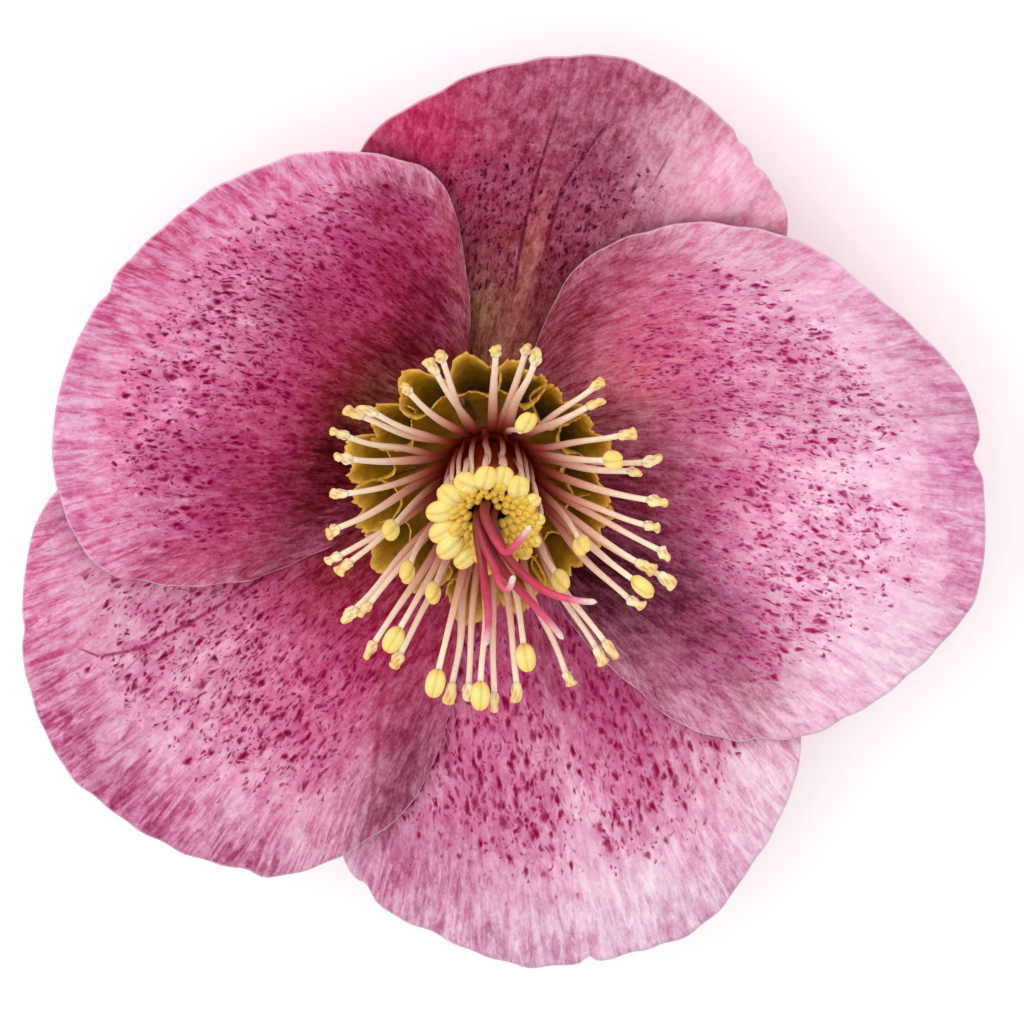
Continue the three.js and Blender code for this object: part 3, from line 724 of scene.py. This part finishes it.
def sepal_marks(look, outward, off):
    """Speckle density, streak strength and nothing."""
    start, dense, thinning, end, density = look["speckles"]
    speckled = density * smooth(outward, start, dense) * (1 - smooth(outward, thinning, end))
    first, last = look["speckled_between"]
    begun = smooth(off, first - SPECKLE_FADE, first + SPECKLE_FADE)
    ended = smooth(off, last - SPECKLE_FADE, last + SPECKLE_FADE)
    midrib, bare = look["midrib"]
    on_midrib = np.exp(-(((off - midrib) / MIDRIB_WIDTH) ** 2))
    speckled = speckled * begun * (1 - ended) * (1 - bare * on_midrib)
    return vectors(speckled, look["streaks"] * smooth(outward, *STREAKS_FROM))


def shaded_crease_routes(name):
    """For each drawn line of painted crease shade of a sepal, its turns and its lengths from the claw."""
    routes = [route for route, _, _ in LOOKS[name]["veins"]]
    return [fan_of(SEPALS[name], np.array([polar(*point) for point in route])) for route in routes]


def shaded_crease_gaps(name, place):
    """How far each place is sideways of up to three drawn lines of painted crease shade, in millimetres."""
    turn, length = fan_of(SEPALS[name], place)
    gaps = np.full((*turn.shape, 3), FAR_FROM_SHADED_CREASES)
    for k, (route_turn, route_length) in enumerate(shaded_crease_routes(name)):
        gaps[..., k] = (turn - np.interp(length, route_length, route_turn)) * length
    return gaps


# ---- Helpers: materials ----


def add(tree, kind, links=None, **settings):
    """A node of a kind with settings. Links are inputs by name or number: a socket or a value."""
    node = tree.nodes.new("ShaderNode" + kind)
    for key, value in settings.items():
        setattr(node, key, value)
    for key, value in (links or {}).items():
        if isinstance(value, bpy.types.NodeSocket):
            tree.links.new(value, node.inputs[key])
        else:
            node.inputs[key].default_value = value
    return node


def layer(tree, name, output="Vector"):
    return add(tree, "Attribute", attribute_name=name).outputs[output]


def parts_of(tree, vector):
    return add(tree, "SeparateXYZ", {0: vector}).outputs


def math_of(tree, operation, a, b=0.0):
    return add(tree, "Math", {0: a, 1: b}, operation=operation).outputs[0]


def times(tree, value, *factors):
    for factor in factors:
        value = math_of(tree, "MULTIPLY", value, factor)
    return value


def vector_of(tree, operation, a, b):
    return add(tree, "VectorMath", {0: a, 1: b}, operation=operation).outputs[0]


def ramp_of(tree, value, low, high, to_low=0.0, to_high=1.0):
    links = {"Value": value, "From Min": low, "From Max": high, "To Min": to_low, "To Max": to_high}
    return add(tree, "MapRange", links, interpolation_type="SMOOTHSTEP").outputs[0]


def mix(tree, share, a, b, blend="MIX"):
    return add(tree, "Mix", {0: share, 6: a, 7: b}, data_type="RGBA", blend_type=blend).outputs[2]


def gamma(tree, colour, power):
    """The colour with its light and dark parts pushed apart (above 1) or evened out (below 1)."""
    return add(tree, "Gamma", {0: colour, 1: power}).outputs[0]


def pushed_apart(tree, colour, pattern, deeper, paler, half_span=0.14):
    """The colour made deeper and paler by powers, by turns as a noise pattern says."""
    share = ramp_of(tree, pattern, 0.5 - half_span, 0.5 + half_span)
    return mix(tree, share, gamma(tree, colour, deeper), gamma(tree, colour, paler))


def noise(tree, place, stretch, detail, roughness=0.5, distortion=0.0, output=0):
    """Noise whose grains measure one over stretch, in the units of the place."""
    links = {"Vector": vector_of(tree, "MULTIPLY", place, stretch), "Scale": 1.0}
    links |= {"Detail": detail, "Roughness": roughness, "Distortion": distortion}
    return add(tree, "TexNoise", links).outputs[output]


def new_material(name, roughness, **shader_values):
    """A material, its node tree and its shader, with other shader inputs by name."""
    material = bpy.data.materials.new(name)
    material.use_nodes = True
    tree = material.node_tree
    shader = tree.nodes["Principled BSDF"]
    shader.inputs["Roughness"].default_value = roughness
    for key, value in shader_values.items():
        shader.inputs[key.replace("_", " ")].default_value = value
    return material, tree, shader


def bump(tree, shader, height, distance, strength):
    node = add(tree, "Bump", {"Height": height, "Distance": distance, "Strength": strength})
    tree.links.new(node.outputs[0], shader.inputs["Normal"])


# ---- Sepals: material ----

# Mottling: grains in a millimetre, distortion, and the powers that make the colour deeper and paler.
SEPAL_MOTTLING = [(0.27, 0, 1.09, 0.93), (1.1, 0.5, 1.07, 0.94), (4, 0.3, 1.1, 0.9)]
SLANT = (0.6, 0.4, 0.9)  # turns the mottling's grid (radians), which would show on the level
# Mottling drawn out along the veins: grains in a millimetre across and along them, and the same.
DRAWN_MOTTLING = [
    ((0.85, 0.45), 0.5, 1.2, 0.82), ((2, 1.1), 0.4, 1.13, 0.88), ((2.2, 0.24), 0.4, 1.08, 0.93),
]

STREAK_GRAINS = (1.35, 0.27)  # in a millimetre, along the rim and in from it
STREAK_POWERS = (1.5, 0.68)  # that make the colour deeper and paler
STREAKED_TINTS = (0.0, 0.16)  # how light (green, linear) a tint is where streaks start and are full

# How speckles are led astray: grains in a millimetre and how far, both across and along the veins.
SPECKLE_WAVER = [((0.5, 0.4), (1.4, 1.5)), ((2.2, 1.5), (0.6, 0.8))]
# How they gather in patches: grains in a millimetre across and along the veins, detail, roughness and
# distortion of the noise, the span of it that counts, and what that adds to their density.
SPECKLE_PATCHES = [
    ((0.22, 0.15), (2, 0.5, 0), (0.3, 0.7), (-0.22, 0.16)),
    ((1.25, 0.75), (4, 0.6, 0.5), (0.38, 0.62), (-0.24, 0.2)),
]
# The powers of a sepal's speckle colour: for the flush between the dots with its strength, and for
# fine dots, middling ones, halos and the large dots in them, with their cell and largest dot.
SPECKLE_FLUSH = (0.6, 0.5)
SPECKLE_SIZES = [
    (0.8, (0.36, 0.5), 0.38), (1.1, (0.56, 0.86), 0.41), (0.7, (0.95, 1.6), 0.39), (1.35, (0.95, 1.6), 0.33),
]

PALE_EDGE_WIDTH = (0.18, 0.05)  # how far from the rim it starts and is full
PALE_EDGE_STRENGTH = 0.5
SEPAL_RELIEF = 0.12  # height of the grain and streaks


def speckles(tree, place, density, cell, largest):
    """Irregular dots, each in a cell of its own. Cell: width across and length along the veins in
    millimetres. Largest: the half width of the largest dot as a share of the cell's."""
    for stretch, reach in SPECKLE_WAVER:
        waver = noise(tree, place, (*stretch, 1), 2, output=1)
        centred = vector_of(tree, "SUBTRACT", waver, (0.5, 0.5, 0.5))
        place = vector_of(tree, "ADD", place, vector_of(tree, "MULTIPLY", centred, (*reach, 0)))
    scaled = vector_of(tree, "MULTIPLY", place, (1 / cell[0], 1 / cell[1], 1))
    cells = add(tree, "TexVoronoi", {"Vector": scaled, "Scale": 1.0}, voronoi_dimensions="2D").outputs
    draws = add(tree, "SeparateColor", {0: cells["Color"]}).outputs
    grown = ramp_of(tree, math_of(tree, "ADD", draws[0], density), 1.0, 1.75, 0, largest)
    dot = ramp_of(tree, math_of(tree, "SUBTRACT", grown, cells["Distance"]), 0, 0.3)
    return times(tree, dot, ramp_of(tree, draws[1], 0, 0.8, 0.7, 1.0))


def mottled(tree, colour, fan):
    """Soft clouds and grain, then blotches, flecks and faint lines along the veins."""
    links = {0: add(tree, "TexCoord").outputs["Object"], "Rotation": SLANT}
    slanted = add(tree, "VectorRotate", links, rotation_type="EULER_XYZ").outputs[0]
    for grains, distortion, deeper, paler in SEPAL_MOTTLING:
        pattern = noise(tree, slanted, (grains / MM,) * 3, 4, 0.6, distortion)
        colour = pushed_apart(tree, colour, pattern, deeper, paler)
    for grains, distortion, deeper, paler in DRAWN_MOTTLING:
        pattern = noise(tree, fan, (*grains, 1), 4, 0.6, distortion)
        colour = pushed_apart(tree, colour, pattern, deeper, paler)
    return colour


def streaked(tree, colour, tint, streaks, mark):
    """Streaks square to the rim, where the tint is light enough to show them."""
    full = pushed_apart(tree, colour, streaks, *STREAK_POWERS, 0.12)
    lightness = add(tree, "SeparateColor", {0: tint}).outputs[1]
    share = times(tree, mark, ramp_of(tree, lightness, *STREAKED_TINTS))
    return mix(tree, share, colour, full)


def speckled(tree, colour, look, fan, mark):
    """Fine dots under larger ones, gathered in patches that are flushed between the dots."""

    def deepened(power):
        return tuple(np.array(socket_colour(look["speckle"])) ** power)

    density = 1.0
    for grains, kind, span, gain in SPECKLE_PATCHES:
        patches = ramp_of(tree, noise(tree, fan, (*grains, 1), *kind), *span, *gain)
        density = math_of(tree, "ADD", density, patches)
    density = times(tree, mark, density)
    power, strength = SPECKLE_FLUSH
    flush = ramp_of(tree, density, 0.5, 1.2, 0, strength)
    colour = mix(tree, flush, colour, deepened(power), "DARKEN")
    for power, cell, largest in SPECKLE_SIZES:
        sized = [side * look["speckle_size"] for side in cell]
        dots = speckles(tree, fan, density, sized, largest)
        colour = mix(tree, dots, colour, deepened(power), "DARKEN")
    return colour


def shaded_creases(tree, colour, name, fan):
    """Dark lines of painted shade along creases and veins, here and there interrupted, and faded at both
    ends.
    """
    outwards = parts_of(tree, fan)[1]
    gaps = parts_of(tree, layer(tree, "shaded_crease_gaps"))
    broken = ramp_of(tree, noise(tree, fan, (1.2, 1.2, 1), 3, 0.6), 0.35, 0.5, 0.45, 1.0)
    for k, (_, length) in enumerate(shaded_crease_routes(name)):
        _, half_width, strength = LOOKS[name]["veins"][k]
        gap = math_of(tree, "ABSOLUTE", gaps[k])
        line = ramp_of(tree, gap, half_width * 1.8, half_width * 0.4, 0, strength)
        begun = ramp_of(tree, outwards, length[0] - 1, length[0] + 1)
        ended = ramp_of(tree, outwards, length[-1] + 0.5, length[-1] - 1.5)
        line = times(tree, line, broken, begun, ended)
        colour = mix(tree, line, colour, socket_colour(LOOKS[name]["speckle"]), "DARKEN")
    return colour


def sepal_material(name):
    material, tree, shader = new_material("tissue_" + name, 0.55, Specular_IOR_Level=0.04)
    fan, rim_place, tint = layer(tree, "fan"), layer(tree, "rim_place"), layer(tree, "tint", "Color")
    speckle_mark, streak_mark, _ = parts_of(tree, layer(tree, "marks"))
    streaks = noise(tree, rim_place, (*STREAK_GRAINS, 1), 4, 0.68, 1.1)

    colour = mottled(tree, tint, fan)
    colour = streaked(tree, colour, tint, streaks, streak_mark)
    colour = speckled(tree, colour, LOOKS[name], fan, speckle_mark)
    colour = shaded_creases(tree, colour, name, fan)
    edge = ramp_of(tree, parts_of(tree, rim_place)[1], *PALE_EDGE_WIDTH, 0, PALE_EDGE_STRENGTH)
    colour = mix(tree, edge, colour, socket_colour(PALE_EDGE))
    tree.links.new(colour, shader.inputs["Base Color"])

    grain = noise(tree, fan, (2.6, 1.2, 1), 4, 0.6)
    relief = math_of(tree, "ADD", grain, times(tree, streaks, streak_mark))
    bump(tree, shader, relief, SEPAL_RELIEF * MM, 0.5)
    return material


# ---- Nectaries ----

NECTARY_SIDES = 72
NECTARY_RINGS = 30
NECTARY_HOLLOW_FROM = 0.25  # share of its length from where it is open inside
NECTARY_ALTERNATE = 0.6  # how much further out every other mouth is
NECTARY_LIP_WALL = 0.16
NECTARY_FRILL = 0.1
NECTARY_CURL = 0.45  # how far the lips curl outwards


def nectary_path(index):
    """From the root of a nectary to its mouth."""
    angle = 360 * index / NECTARIES + 3 * scatter(index, 1)
    radius = NECTARY_MOUTH[0] + NECTARY_ALTERNATE * (index % 2) + NECTARY_UNEVEN * scatter(index, 2)
    mouth = polar(angle, radius, NECTARY_MOUTH[1] + 0.3 * scatter(index, 3))
    return bezier(polar(angle, *NECTARY_START), polar(angle, *NECTARY_BEND), mouth + NECTARY_SWAY)


def nectary_lips(share, index):
    """How far a nectary's rings are pushed forward and up by its long outer lip, its ruffle and frill."""
    turn = turns(NECTARY_SIDES)
    push = NECTARY_RUFFLE * np.cos(3 * turn + index) - NECTARY_LIP * np.sin(turn)
    wave = NECTARY_WAVE * np.sin(NECTARY_WAVE_TURN * np.cos(turn) + index)
    teeth = np.sin(7 * turn + 2 * index) + 0.8 * np.sin(13 * turn + 5 * scatter(index, 4))
    teeth = teeth + 0.8 * np.sin(22 * turn + index) + 0.5 * np.sin(31 * turn)
    grown, lip = share[:, None] ** 4, share[:, None] ** 12
    frill = NECTARY_FRILL * (1 + 0.8 * scatter(index, 10))
    forward = push * grown + frill * teeth * lip
    return forward, wave * grown + NECTARY_CURL * np.sin(turn) * lip * (1 + 0.15 * teeth)


def nectary_skin(skin, index):
    share = shares(NECTARY_RINGS)
    path = along(nectary_path(index), share)
    direction = directions(path)
    across, up = level_axes(direction)
    places, *halves = NECTARY_SECTIONS.T
    half_width, half_height = (np.interp(share, places, half) for half in halves)
    lips = aside_and_up(direction, up, *nectary_lips(share, index))
    outside, inside = (
        ovals(path, across, up, half_width - inset, half_height - inset, NECTARY_SIDES) + lips
        for inset in (0, NECTARY_LIP_WALL)
    )
    inwards = slice(None, int(NECTARY_RINGS * NECTARY_HOLLOW_FROM), -1)
    tints = np.concatenate([tints_at(NECTARY_TINTS, share), tints_at(NECTARY_INSIDE, share)[inwards]])
    skin.add(np.concatenate([outside, inside[inwards]]), tints * (1 + 0.12 * scatter(index, 9)))


def nectaries(skin):
    skin.add(ring_of(*NECTARY_RING), linear(NECTARY_RING_TINT))
    for index in range(NECTARIES):
        nectary_skin(skin, index)


# ---- Stamens ----

FILAMENT_SIDES = 12
FILAMENT_RINGS = 30
FILAMENT_HALF_WIDTHS = [(0, 0.36), (0.5, 0.3), (0.9, 0.23), (1, 0.25)]
FILAMENT_FLATNESS = 0.75  # its height as a share of its width
FILAMENT_WAVER = 0.02  # how far a filament wavers sideways, as a share of its length
ANTHER_SIDES = 28
ANTHER_RINGS = 20


def filament(skin, path, half_widths, stops, draw=0):
    """A filament along a path. Gives back its end."""
    share = shares(FILAMENT_RINGS)
    path = along(path, share)
    across, up = level_axes(directions(path))
    reach = FILAMENT_WAVER * travelled(path)[-1] * scatter(draw, 41)
    waver = reach * np.sin(np.pi * share * (2 + scatter(draw, 42)))
    path = path + (waver * np.sin(np.pi * share))[:, None] * across
    widths = np.interp(share, *zip(*half_widths))
    broadened = 1 + 0.3 * max(0, scatter(draw, 43)) * np.sin(np.pi * share)
    rings = ovals(path, across, up, widths * broadened, widths * FILAMENT_FLATNESS, FILAMENT_SIDES)
    skin.add(rings, tints_at(stops, share) * (1 + 0.06 * scatter(draw, 44)))
    return path[-1]


def anther_axes(direction, roll):
    """Unit vectors across an anther, rolled round its length (degrees), one row for each ring."""
    across, up = level_axes(direction)
    turn = math.radians(roll)
    rolled = math.cos(turn) * across + math.sin(turn) * up
    repeat = (ANTHER_RINGS, 1)
    return np.tile(rolled, repeat), np.tile(np.cross(direction, rolled), repeat)


def ripe_anther(skin, foot, direction, size, stops, groove=0.3, roll=0.0):
    """Two flat plump lobes side by side, with a groove between them and a dent at both ends."""
    length, half_width, half_thickness = size
    share = (1 - np.cos(np.linspace(0.015, 0.985, ANTHER_RINGS) * np.pi)) / 2
    girth = np.sqrt(1 - np.abs(2 * share - 1) ** 2.5)[:, None]
    turn = turns(ANTHER_SIDES)
    seam = np.exp(-((np.cos(turn) / 0.17) ** 2))
    dent = 0.07 * length * (1 - 2 * share)[:, None] ** 3 * np.exp(-((np.cos(turn) / 0.4) ** 2))
    run = length * share[:, None] + dent
    wide = half_width * girth * np.cos(turn)
    high = half_thickness * girth * np.sin(turn) * (1 - groove * seam)
    steps = run[..., None] * direction + aside_and_up(*anther_axes(direction, roll), wide, high)
    shading = (1 - 0.16 * seam)[:, None]
    skin.add(foot + steps, tints_at(stops, share)[:, None] * shading)


def spent_anther(skin, foot, direction, draw):
    """A shed anther: shrunken, crumpled and a little askew."""
    length, half_width, half_thickness = SPENT_ANTHER
    length *= 0.8 + 0.2 * scatter(draw, 31)
    share = shares(ANTHER_RINGS)[:, None]
    waist, end = 0.76 + 0.16 * scatter(draw, 38), 0.86 + 0.18 * scatter(draw, 39)
    swell = [(0, 0.5), (0.12, 0.85), (0.38, 0.92), (0.62, waist), (0.85, end), (0.96, 0.75 * end), (1, 0.2)]
    turn = turns(ANTHER_SIDES)
    phase = 3 * scatter(draw, 32)
    folds = 0.17 * np.cos(2 * turn + 5 * share + phase)
    folds = folds + 0.1 * np.sin(5 * turn - 8 * share + 2 * phase)
    folds = folds + 0.05 * np.sin(9 * turn + 23 * share + phase)
    size = np.interp(share, *zip(*swell)) * (1 + folds * np.minimum(1, 4 * share))
    across, up = anther_axes(direction, 60 * scatter(draw, 35))
    askew = (0.35 * scatter(draw, 33) * across + 0.25 * scatter(draw, 34) * up) * share**1.5
    centres = foot + length * share * direction + askew
    wide, high = half_width * size * np.cos(turn), half_thickness * size * np.sin(turn)
    in_fold = 0.7 * smooth(-folds, 0.04, 0.24)[..., None]
    tints = between(tints_at(SPENT_TINTS, share + 0.3 * scatter(draw, 36)), linear(SPENT_FOLD_TINT), in_fold)
    skin.add(centres[:, None] + aside_and_up(across, up, wide, high), tints)


def nodded(direction, degrees):
    """A direction bent towards the ground by some degrees."""
    turn = math.radians(degrees)
    across = unit(np.cross([0, 0, 1], direction))
    return math.cos(turn) * direction + math.sin(turn) * np.cross(across, direction)


def spread_stamen(skin, angle, end, draw):
    """The filament of a spread stamen. Gives back its end and the direction it has there."""
    middle = polar(angle + 2 * scatter(draw, 5), *SPREAD_BEND)
    path = bezier(polar(angle, *SPREAD_ROOT), middle, end)
    foot = filament(skin, path, FILAMENT_HALF_WIDTHS, FILAMENT_TINTS, draw)
    return foot, unit(path[-1] - path[-2])


def spread_stamens(skin):
    skin.add(ring_of(*SPREAD_RING), linear(SPREAD_RING_TINT))
    for i in range(SPENT_STAMENS):
        angle = i * GOLDEN_ANGLE + 6 * scatter(i, 3)
        reach = SPREAD_END[0] + SPREAD_LONGER * math.sin(math.radians(angle)) ** 2 + scatter(i, 4)
        end = polar(angle + 3 * scatter(i, 6), reach, SPREAD_END[1] + 0.7 * scatter(i, 7)) + SPREAD_SWAY
        spent_anther(skin, *spread_stamen(skin, angle, end, i), i)
    for i, (angle, radius, height, nod) in enumerate(RIPE_STAMENS):
        foot, direction = spread_stamen(skin, angle, polar(angle, radius, height), SPENT_STAMENS + i)
        direction = nodded(direction, nod)
        ripe_anther(skin, foot, direction, RIPE_ANTHER, RIPE_TINTS, roll=25 * scatter(i, 37))


# ---- Head of young stamens ----

HUGGING_FILAMENTS = 20  # thin filaments round the head, below the bowed ones
HUGGING_ROUTE = [(3.0, 5.5), (3.9, 10.5), (3.7, 14.9)]
HUGGING_HALF_WIDTHS = [(0, 0.24), (1, 0.2)]
BOWED_HALF_WIDTHS = [(0, 0.28), (1, 0.22)]
BOWED_SHOWN = 0.9  # of its length, up to where the anther hides it
CORE_SIDES = 48
CORE_RINGS = 60
# Buds of anthers that fill the head: count, distance of the nearest and the farthest from its axis,
# height of the nearest and the farthest, (length, half width, half thickness).
BUDS = 130
BUD_REACH = (0.5, 3.8)
BUD_HEIGHTS = (14.8, 15.9)
BUD = np.array([1.2, 0.36, 0.33])
BUD_CLEARANCE = 0.58
BUDS_INSIDE = 0.62  # of that reach, where the outer anthers are fully grown
# Towards this compass angle the outer anthers are the least grown, to this share of their size.
YOUNGEST_TOWARDS = 320
YOUNGEST_SIZE = 0.62
STYLE_FROM = 0.8  # of the way up its pod, where a style starts


def pod_ends(angle):
    """The foot and the top of a pod's middle line."""
    return [leant(polar(angle, CARPEL_RING, height)) for height in (CARPEL_FOOT[1] + 0.3, CARPEL_TOP)]


def whole_style(angle, route):
    """The route of a style from inside its pod."""
    base, top = pod_ends(angle)
    return spline([between(base, top, STYLE_FROM), top, *route])


STYLE_POINTS = np.vstack([spline(route) for _, route in CARPELS])
WHOLE_STYLE_POINTS = np.vstack([whole_style(angle, route) for angle, route in CARPELS])


def clear_of(points, place, clearance):
    return np.linalg.norm(points - leant(place), axis=1).min() > clearance


def youngest_at(angle):
    """0 where the head's outer anthers are fully grown, 1 towards the youngest of them."""
    return smooth(math.cos(math.radians(angle - YOUNGEST_TOWARDS)), -0.1, 0.6)


def dipping(angle, degrees):
    """The direction from a compass angle to the axis that dips by some degrees."""
    dip = math.radians(degrees)
    return polar(angle, -math.cos(dip), -math.sin(dip))


def bent(angle, route):
    """A curve by way of a radius and a height for its root, its bend and its end."""
    return bezier(*(polar(angle, *point) for point in route))


def anther_about(skin, middle, direction, size, *look):
    """A ripe anther placed by its middle."""
    ripe_anther(skin, middle - direction * size[0] / 2, direction, size, *look)


def head_rings(skin):
    """The anthers in rings, and the bowed filaments of the outer ring."""
    for index, (count, radius, height, size, dip, aside) in enumerate(HEAD_RINGS):
        look = (BEAD_TINTS, 0.2) if index else (RIPE_TINTS, 0.3)
        for i in range(count):
            angle = 360 * (i + 0.5 * index) / count + 3 * scatter(i, 10 + index)
            outward = radius + 0.2 * scatter(i, 30 + index)
            middle = polar(angle, outward, height + 0.3 * scatter(i, 20 + index))
            direction = dipping(angle + aside * scatter(i, 40 + index), dip)
            places = [middle + direction * share * size[0] for share in (-0.35, 0, 0.35)]
            if not all(clear_of(STYLE_POINTS, place, STYLE_CLEARANCE) for place in places):
                continue
            grown = np.array(size) * between(1, YOUNGEST_SIZE, youngest_at(angle))
            anther_about(skin, middle, direction, grown, *look)
            if index == 0:
                shown = along(bent(angle, BOWED_ROUTE), np.linspace(0, BOWED_SHOWN, FILAMENT_RINGS))
                filament(skin, shown, BOWED_HALF_WIDTHS, BOWED_TINTS, i)


def head_buds(skin):
    """The buds inside the rings, in a spiral."""
    for i in range(BUDS):
        angle = i * GOLDEN_ANGLE
        share = math.sqrt((i + 0.5) / BUDS)
        if share > between(BUDS_INSIDE, 1, youngest_at(angle)):
            continue
        height = between(*BUD_HEIGHTS, share**1.4) + 0.12 * scatter(i, 55)
        middle = polar(angle, between(*BUD_REACH, share), height)
        if not clear_of(WHOLE_STYLE_POINTS, middle, BUD_CLEARANCE):
            continue
        direction = dipping(angle, 68 + 10 * scatter(i, 56))
        size = BUD * between(0.85, 1.15, share)
        anther_about(skin, middle, direction, size, BEAD_TINTS, 0.12, 90 * scatter(i, 57))


def young_stamens(skin):
    outline = along(np.array(HEAD_OUTLINE, float), shares(CORE_RINGS))
    core = turned(outline, CORE_SIDES)
    skin.add(core, tints_at(CORE_TINTS, core[..., 2]))
    for i in range(HUGGING_FILAMENTS):
        angle = 360 * (i + 0.3 * scatter(i, 58)) / HUGGING_FILAMENTS
        filament(skin, bent(angle, HUGGING_ROUTE), HUGGING_HALF_WIDTHS, BOWED_TINTS, i)
    head_rings(skin)
    head_buds(skin)
    skin.lean()


# ---- Carpels and receptacle ----

CARPEL_SIDES = 16
POD_RINGS = 24
STYLE_RINGS = 70
STYLE_TIP = 0.02  # of its length, over which it is rounded
RECEPTACLE_RINGS = 70


def tube(skin, path, radius, tints):
    """A round tube along a path."""
    skin.add(ovals(path, *carried_axes(directions(path)), radius, radius, CARPEL_SIDES), tints)


def pod(skin, angle):
    share = shares(POD_RINGS)
    radius = CARPEL_RADIUS * np.sin(np.pi * (0.22 + 0.6 * share))
    tube(skin, between(*pod_ends(angle), share[:, None]), radius, linear(POD_TINT))


def style(skin, angle, route):
    """A style that narrows towards its rounded tip."""
    share = shares(STYLE_RINGS)
    radius = between(STYLE_RADIUS, STYLE_TIP_RADIUS, share**1.5)
    radius = radius * np.sqrt(np.clip((1 - share) / STYLE_TIP, 0.02, 1))
    tube(skin, along(whole_style(angle, route), share), radius, tints_at(STYLE_TINTS, share))


def carpels(skin):
    radius, bottom, top = CARPEL_FOOT
    foot = np.array([(0.1 * radius, bottom), (radius, bottom), (radius, top), (0.1 * radius, top)])
    skin.add(leant(stacked(foot, 2 * CARPEL_SIDES)), linear(POD_TINT))
    for angle, route in CARPELS:
        pod(skin, angle)
        style(skin, angle, route)


def receptacle(skin):
    outline = along(np.array(RECEPTACLE_OUTLINE, float), shares(RECEPTACLE_RINGS))
    outline[:, 0] = np.maximum(outline[:, 0], 0.01)
    skin.add(stacked(outline, ROUND_SIDES), tints_at(RECEPTACLE_TINTS, outline[:, 1]))


# ---- Small organs: material ----

FIRM = {}
LIT_THROUGH = {"Subsurface_Weight": 0.15, "Subsurface_Scale": 0.0006}
# What fills its skin, node, slot; then of the material its roughness, its mottling's grain and
# strength, its relief, and whether light goes into it.
ORGANS = [
    (nectaries, "nectaries", "nectary", 0.42, 0.8, 0.25, 0.05, FIRM),
    (spread_stamens, "stamens_spread", "stamen", 0.45, 0.5, 0.07, 0.012, LIT_THROUGH),
    (young_stamens, "stamens_young", "young_stamen", 0.42, 0.4, 0.08, 0.012, LIT_THROUGH),
    (carpels, "carpels", "carpel", 0.38, 0.4, 0.2, 0.015, FIRM),
    (receptacle, "receptacle", "receptacle", 0.55, 0.6, 0.25, 0.05, FIRM),
]


def organ_material(name, roughness, grain, mottle, relief, **shader_values):
    """The organ's tint, mottled by noise of a grain in millimetres."""
    material, tree, shader = new_material(name, roughness, **shader_values)
    place = add(tree, "TexCoord").outputs["Object"]
    tint = layer(tree, "tint", "Color")
    pattern = ramp_of(tree, noise(tree, place, (1 / (grain * MM),) * 3, 4, 0.6, 0.4), 0.35, 0.65)
    darker = mix(tree, 1.0, tint, (1 - mottle, 1 - 1.2 * mottle, 1 - 1.4 * mottle, 1), "MULTIPLY")
    tree.links.new(mix(tree, pattern, darker, tint), shader.inputs["Base Color"])
    bump(tree, shader, pattern, relief * MM, 0.6)
    return material


# ---- The bloom ----

for number, sepal_name in enumerate(SEPALS):
    stand_for(sepal_piece(sepal_name, number), sepal_name, sepal_material(sepal_name))
for fill, node, slot, roughness, grain, mottle, relief, shader_values in ORGANS:
    organ = Skin()
    fill(organ)
    material = organ_material("tissue_" + slot, roughness, grain, mottle, relief, **shader_values)
    stand_for(organ.piece("bloom_" + node), node, material)

# ---- Floor, light and camera ----

FLOOR_HALF = 1.5
FLOOR_GLOW = 0.15  # keeps the shadow on the white floor faint
WORLD_LIGHT = 0.9
KEY_PLACE = Vector((-0.25, 0.3, 0.5))
KEY_SIZE = 0.6
KEY_POWER = 1.5
CAMERA_TILT = math.radians(22)  # from straight down, towards the back sepal
CAMERA_DISTANCE = 0.45
CAMERA_VIEW = 0.08192  # width seen at the target
CAMERA_TARGET = AXIS + Vector((1.76, -3.30, 7)) * MM
SENSOR = 36


def make_floor():
    """A wide white floor under the bloom."""
    corners = [(x * FLOOR_HALF, y * FLOOR_HALF, 0) for x, y in ((-1, -1), (1, -1), (1, 1), (-1, 1))]
    mesh = bpy.data.meshes.new("floor")
    mesh.from_pydata(corners, [], [(0, 1, 2, 3)])
    tint = socket_colour(FLOOR_TINT)
    glow = {"Emission_Color": tint, "Emission_Strength": FLOOR_GLOW}
    mesh.materials.append(new_material("floor_paper", 0.9, Base_Color=tint, **glow)[0])
    floor = new_object("floor", mesh)


def make_key_light():
    """A square soft light that looks at the bloom."""
    data = bpy.data.lights.new("key", "AREA")
    data.size = KEY_SIZE
    data.energy = KEY_POWER
    light = new_object("key", data)
    light.location = KEY_PLACE
    light.rotation_euler = (-KEY_PLACE).to_track_quat("-Z", "Y").to_euler()


def make_camera():
    """A camera that looks down on the bloom, tilted towards its back sepal."""
    data = bpy.data.cameras.new("camera")
    data.sensor_width = SENSOR
    data.lens = SENSOR * CAMERA_DISTANCE / CAMERA_VIEW
    data.clip_start, data.clip_end = 0.01, 10
    camera = new_object("camera", data)
    back = Vector((0, math.sin(CAMERA_TILT), math.cos(CAMERA_TILT)))
    place = Matrix.Translation(CAMERA_TARGET + back * CAMERA_DISTANCE)
    camera.matrix_world = place @ Matrix.Rotation(-CAMERA_TILT, 4, "X")
    bpy.context.scene.camera = camera


def make_world():
    world = bpy.data.worlds.new("world")
    bpy.context.scene.world = world
    world.use_nodes = True
    background = world.node_tree.nodes["Background"].inputs
    background["Color"].default_value = (1, 1, 1, 1)
    background["Strength"].default_value = WORLD_LIGHT


make_floor()
make_world()
make_key_light()
make_camera()
bpy.context.scene.view_settings.view_transform = "Standard"
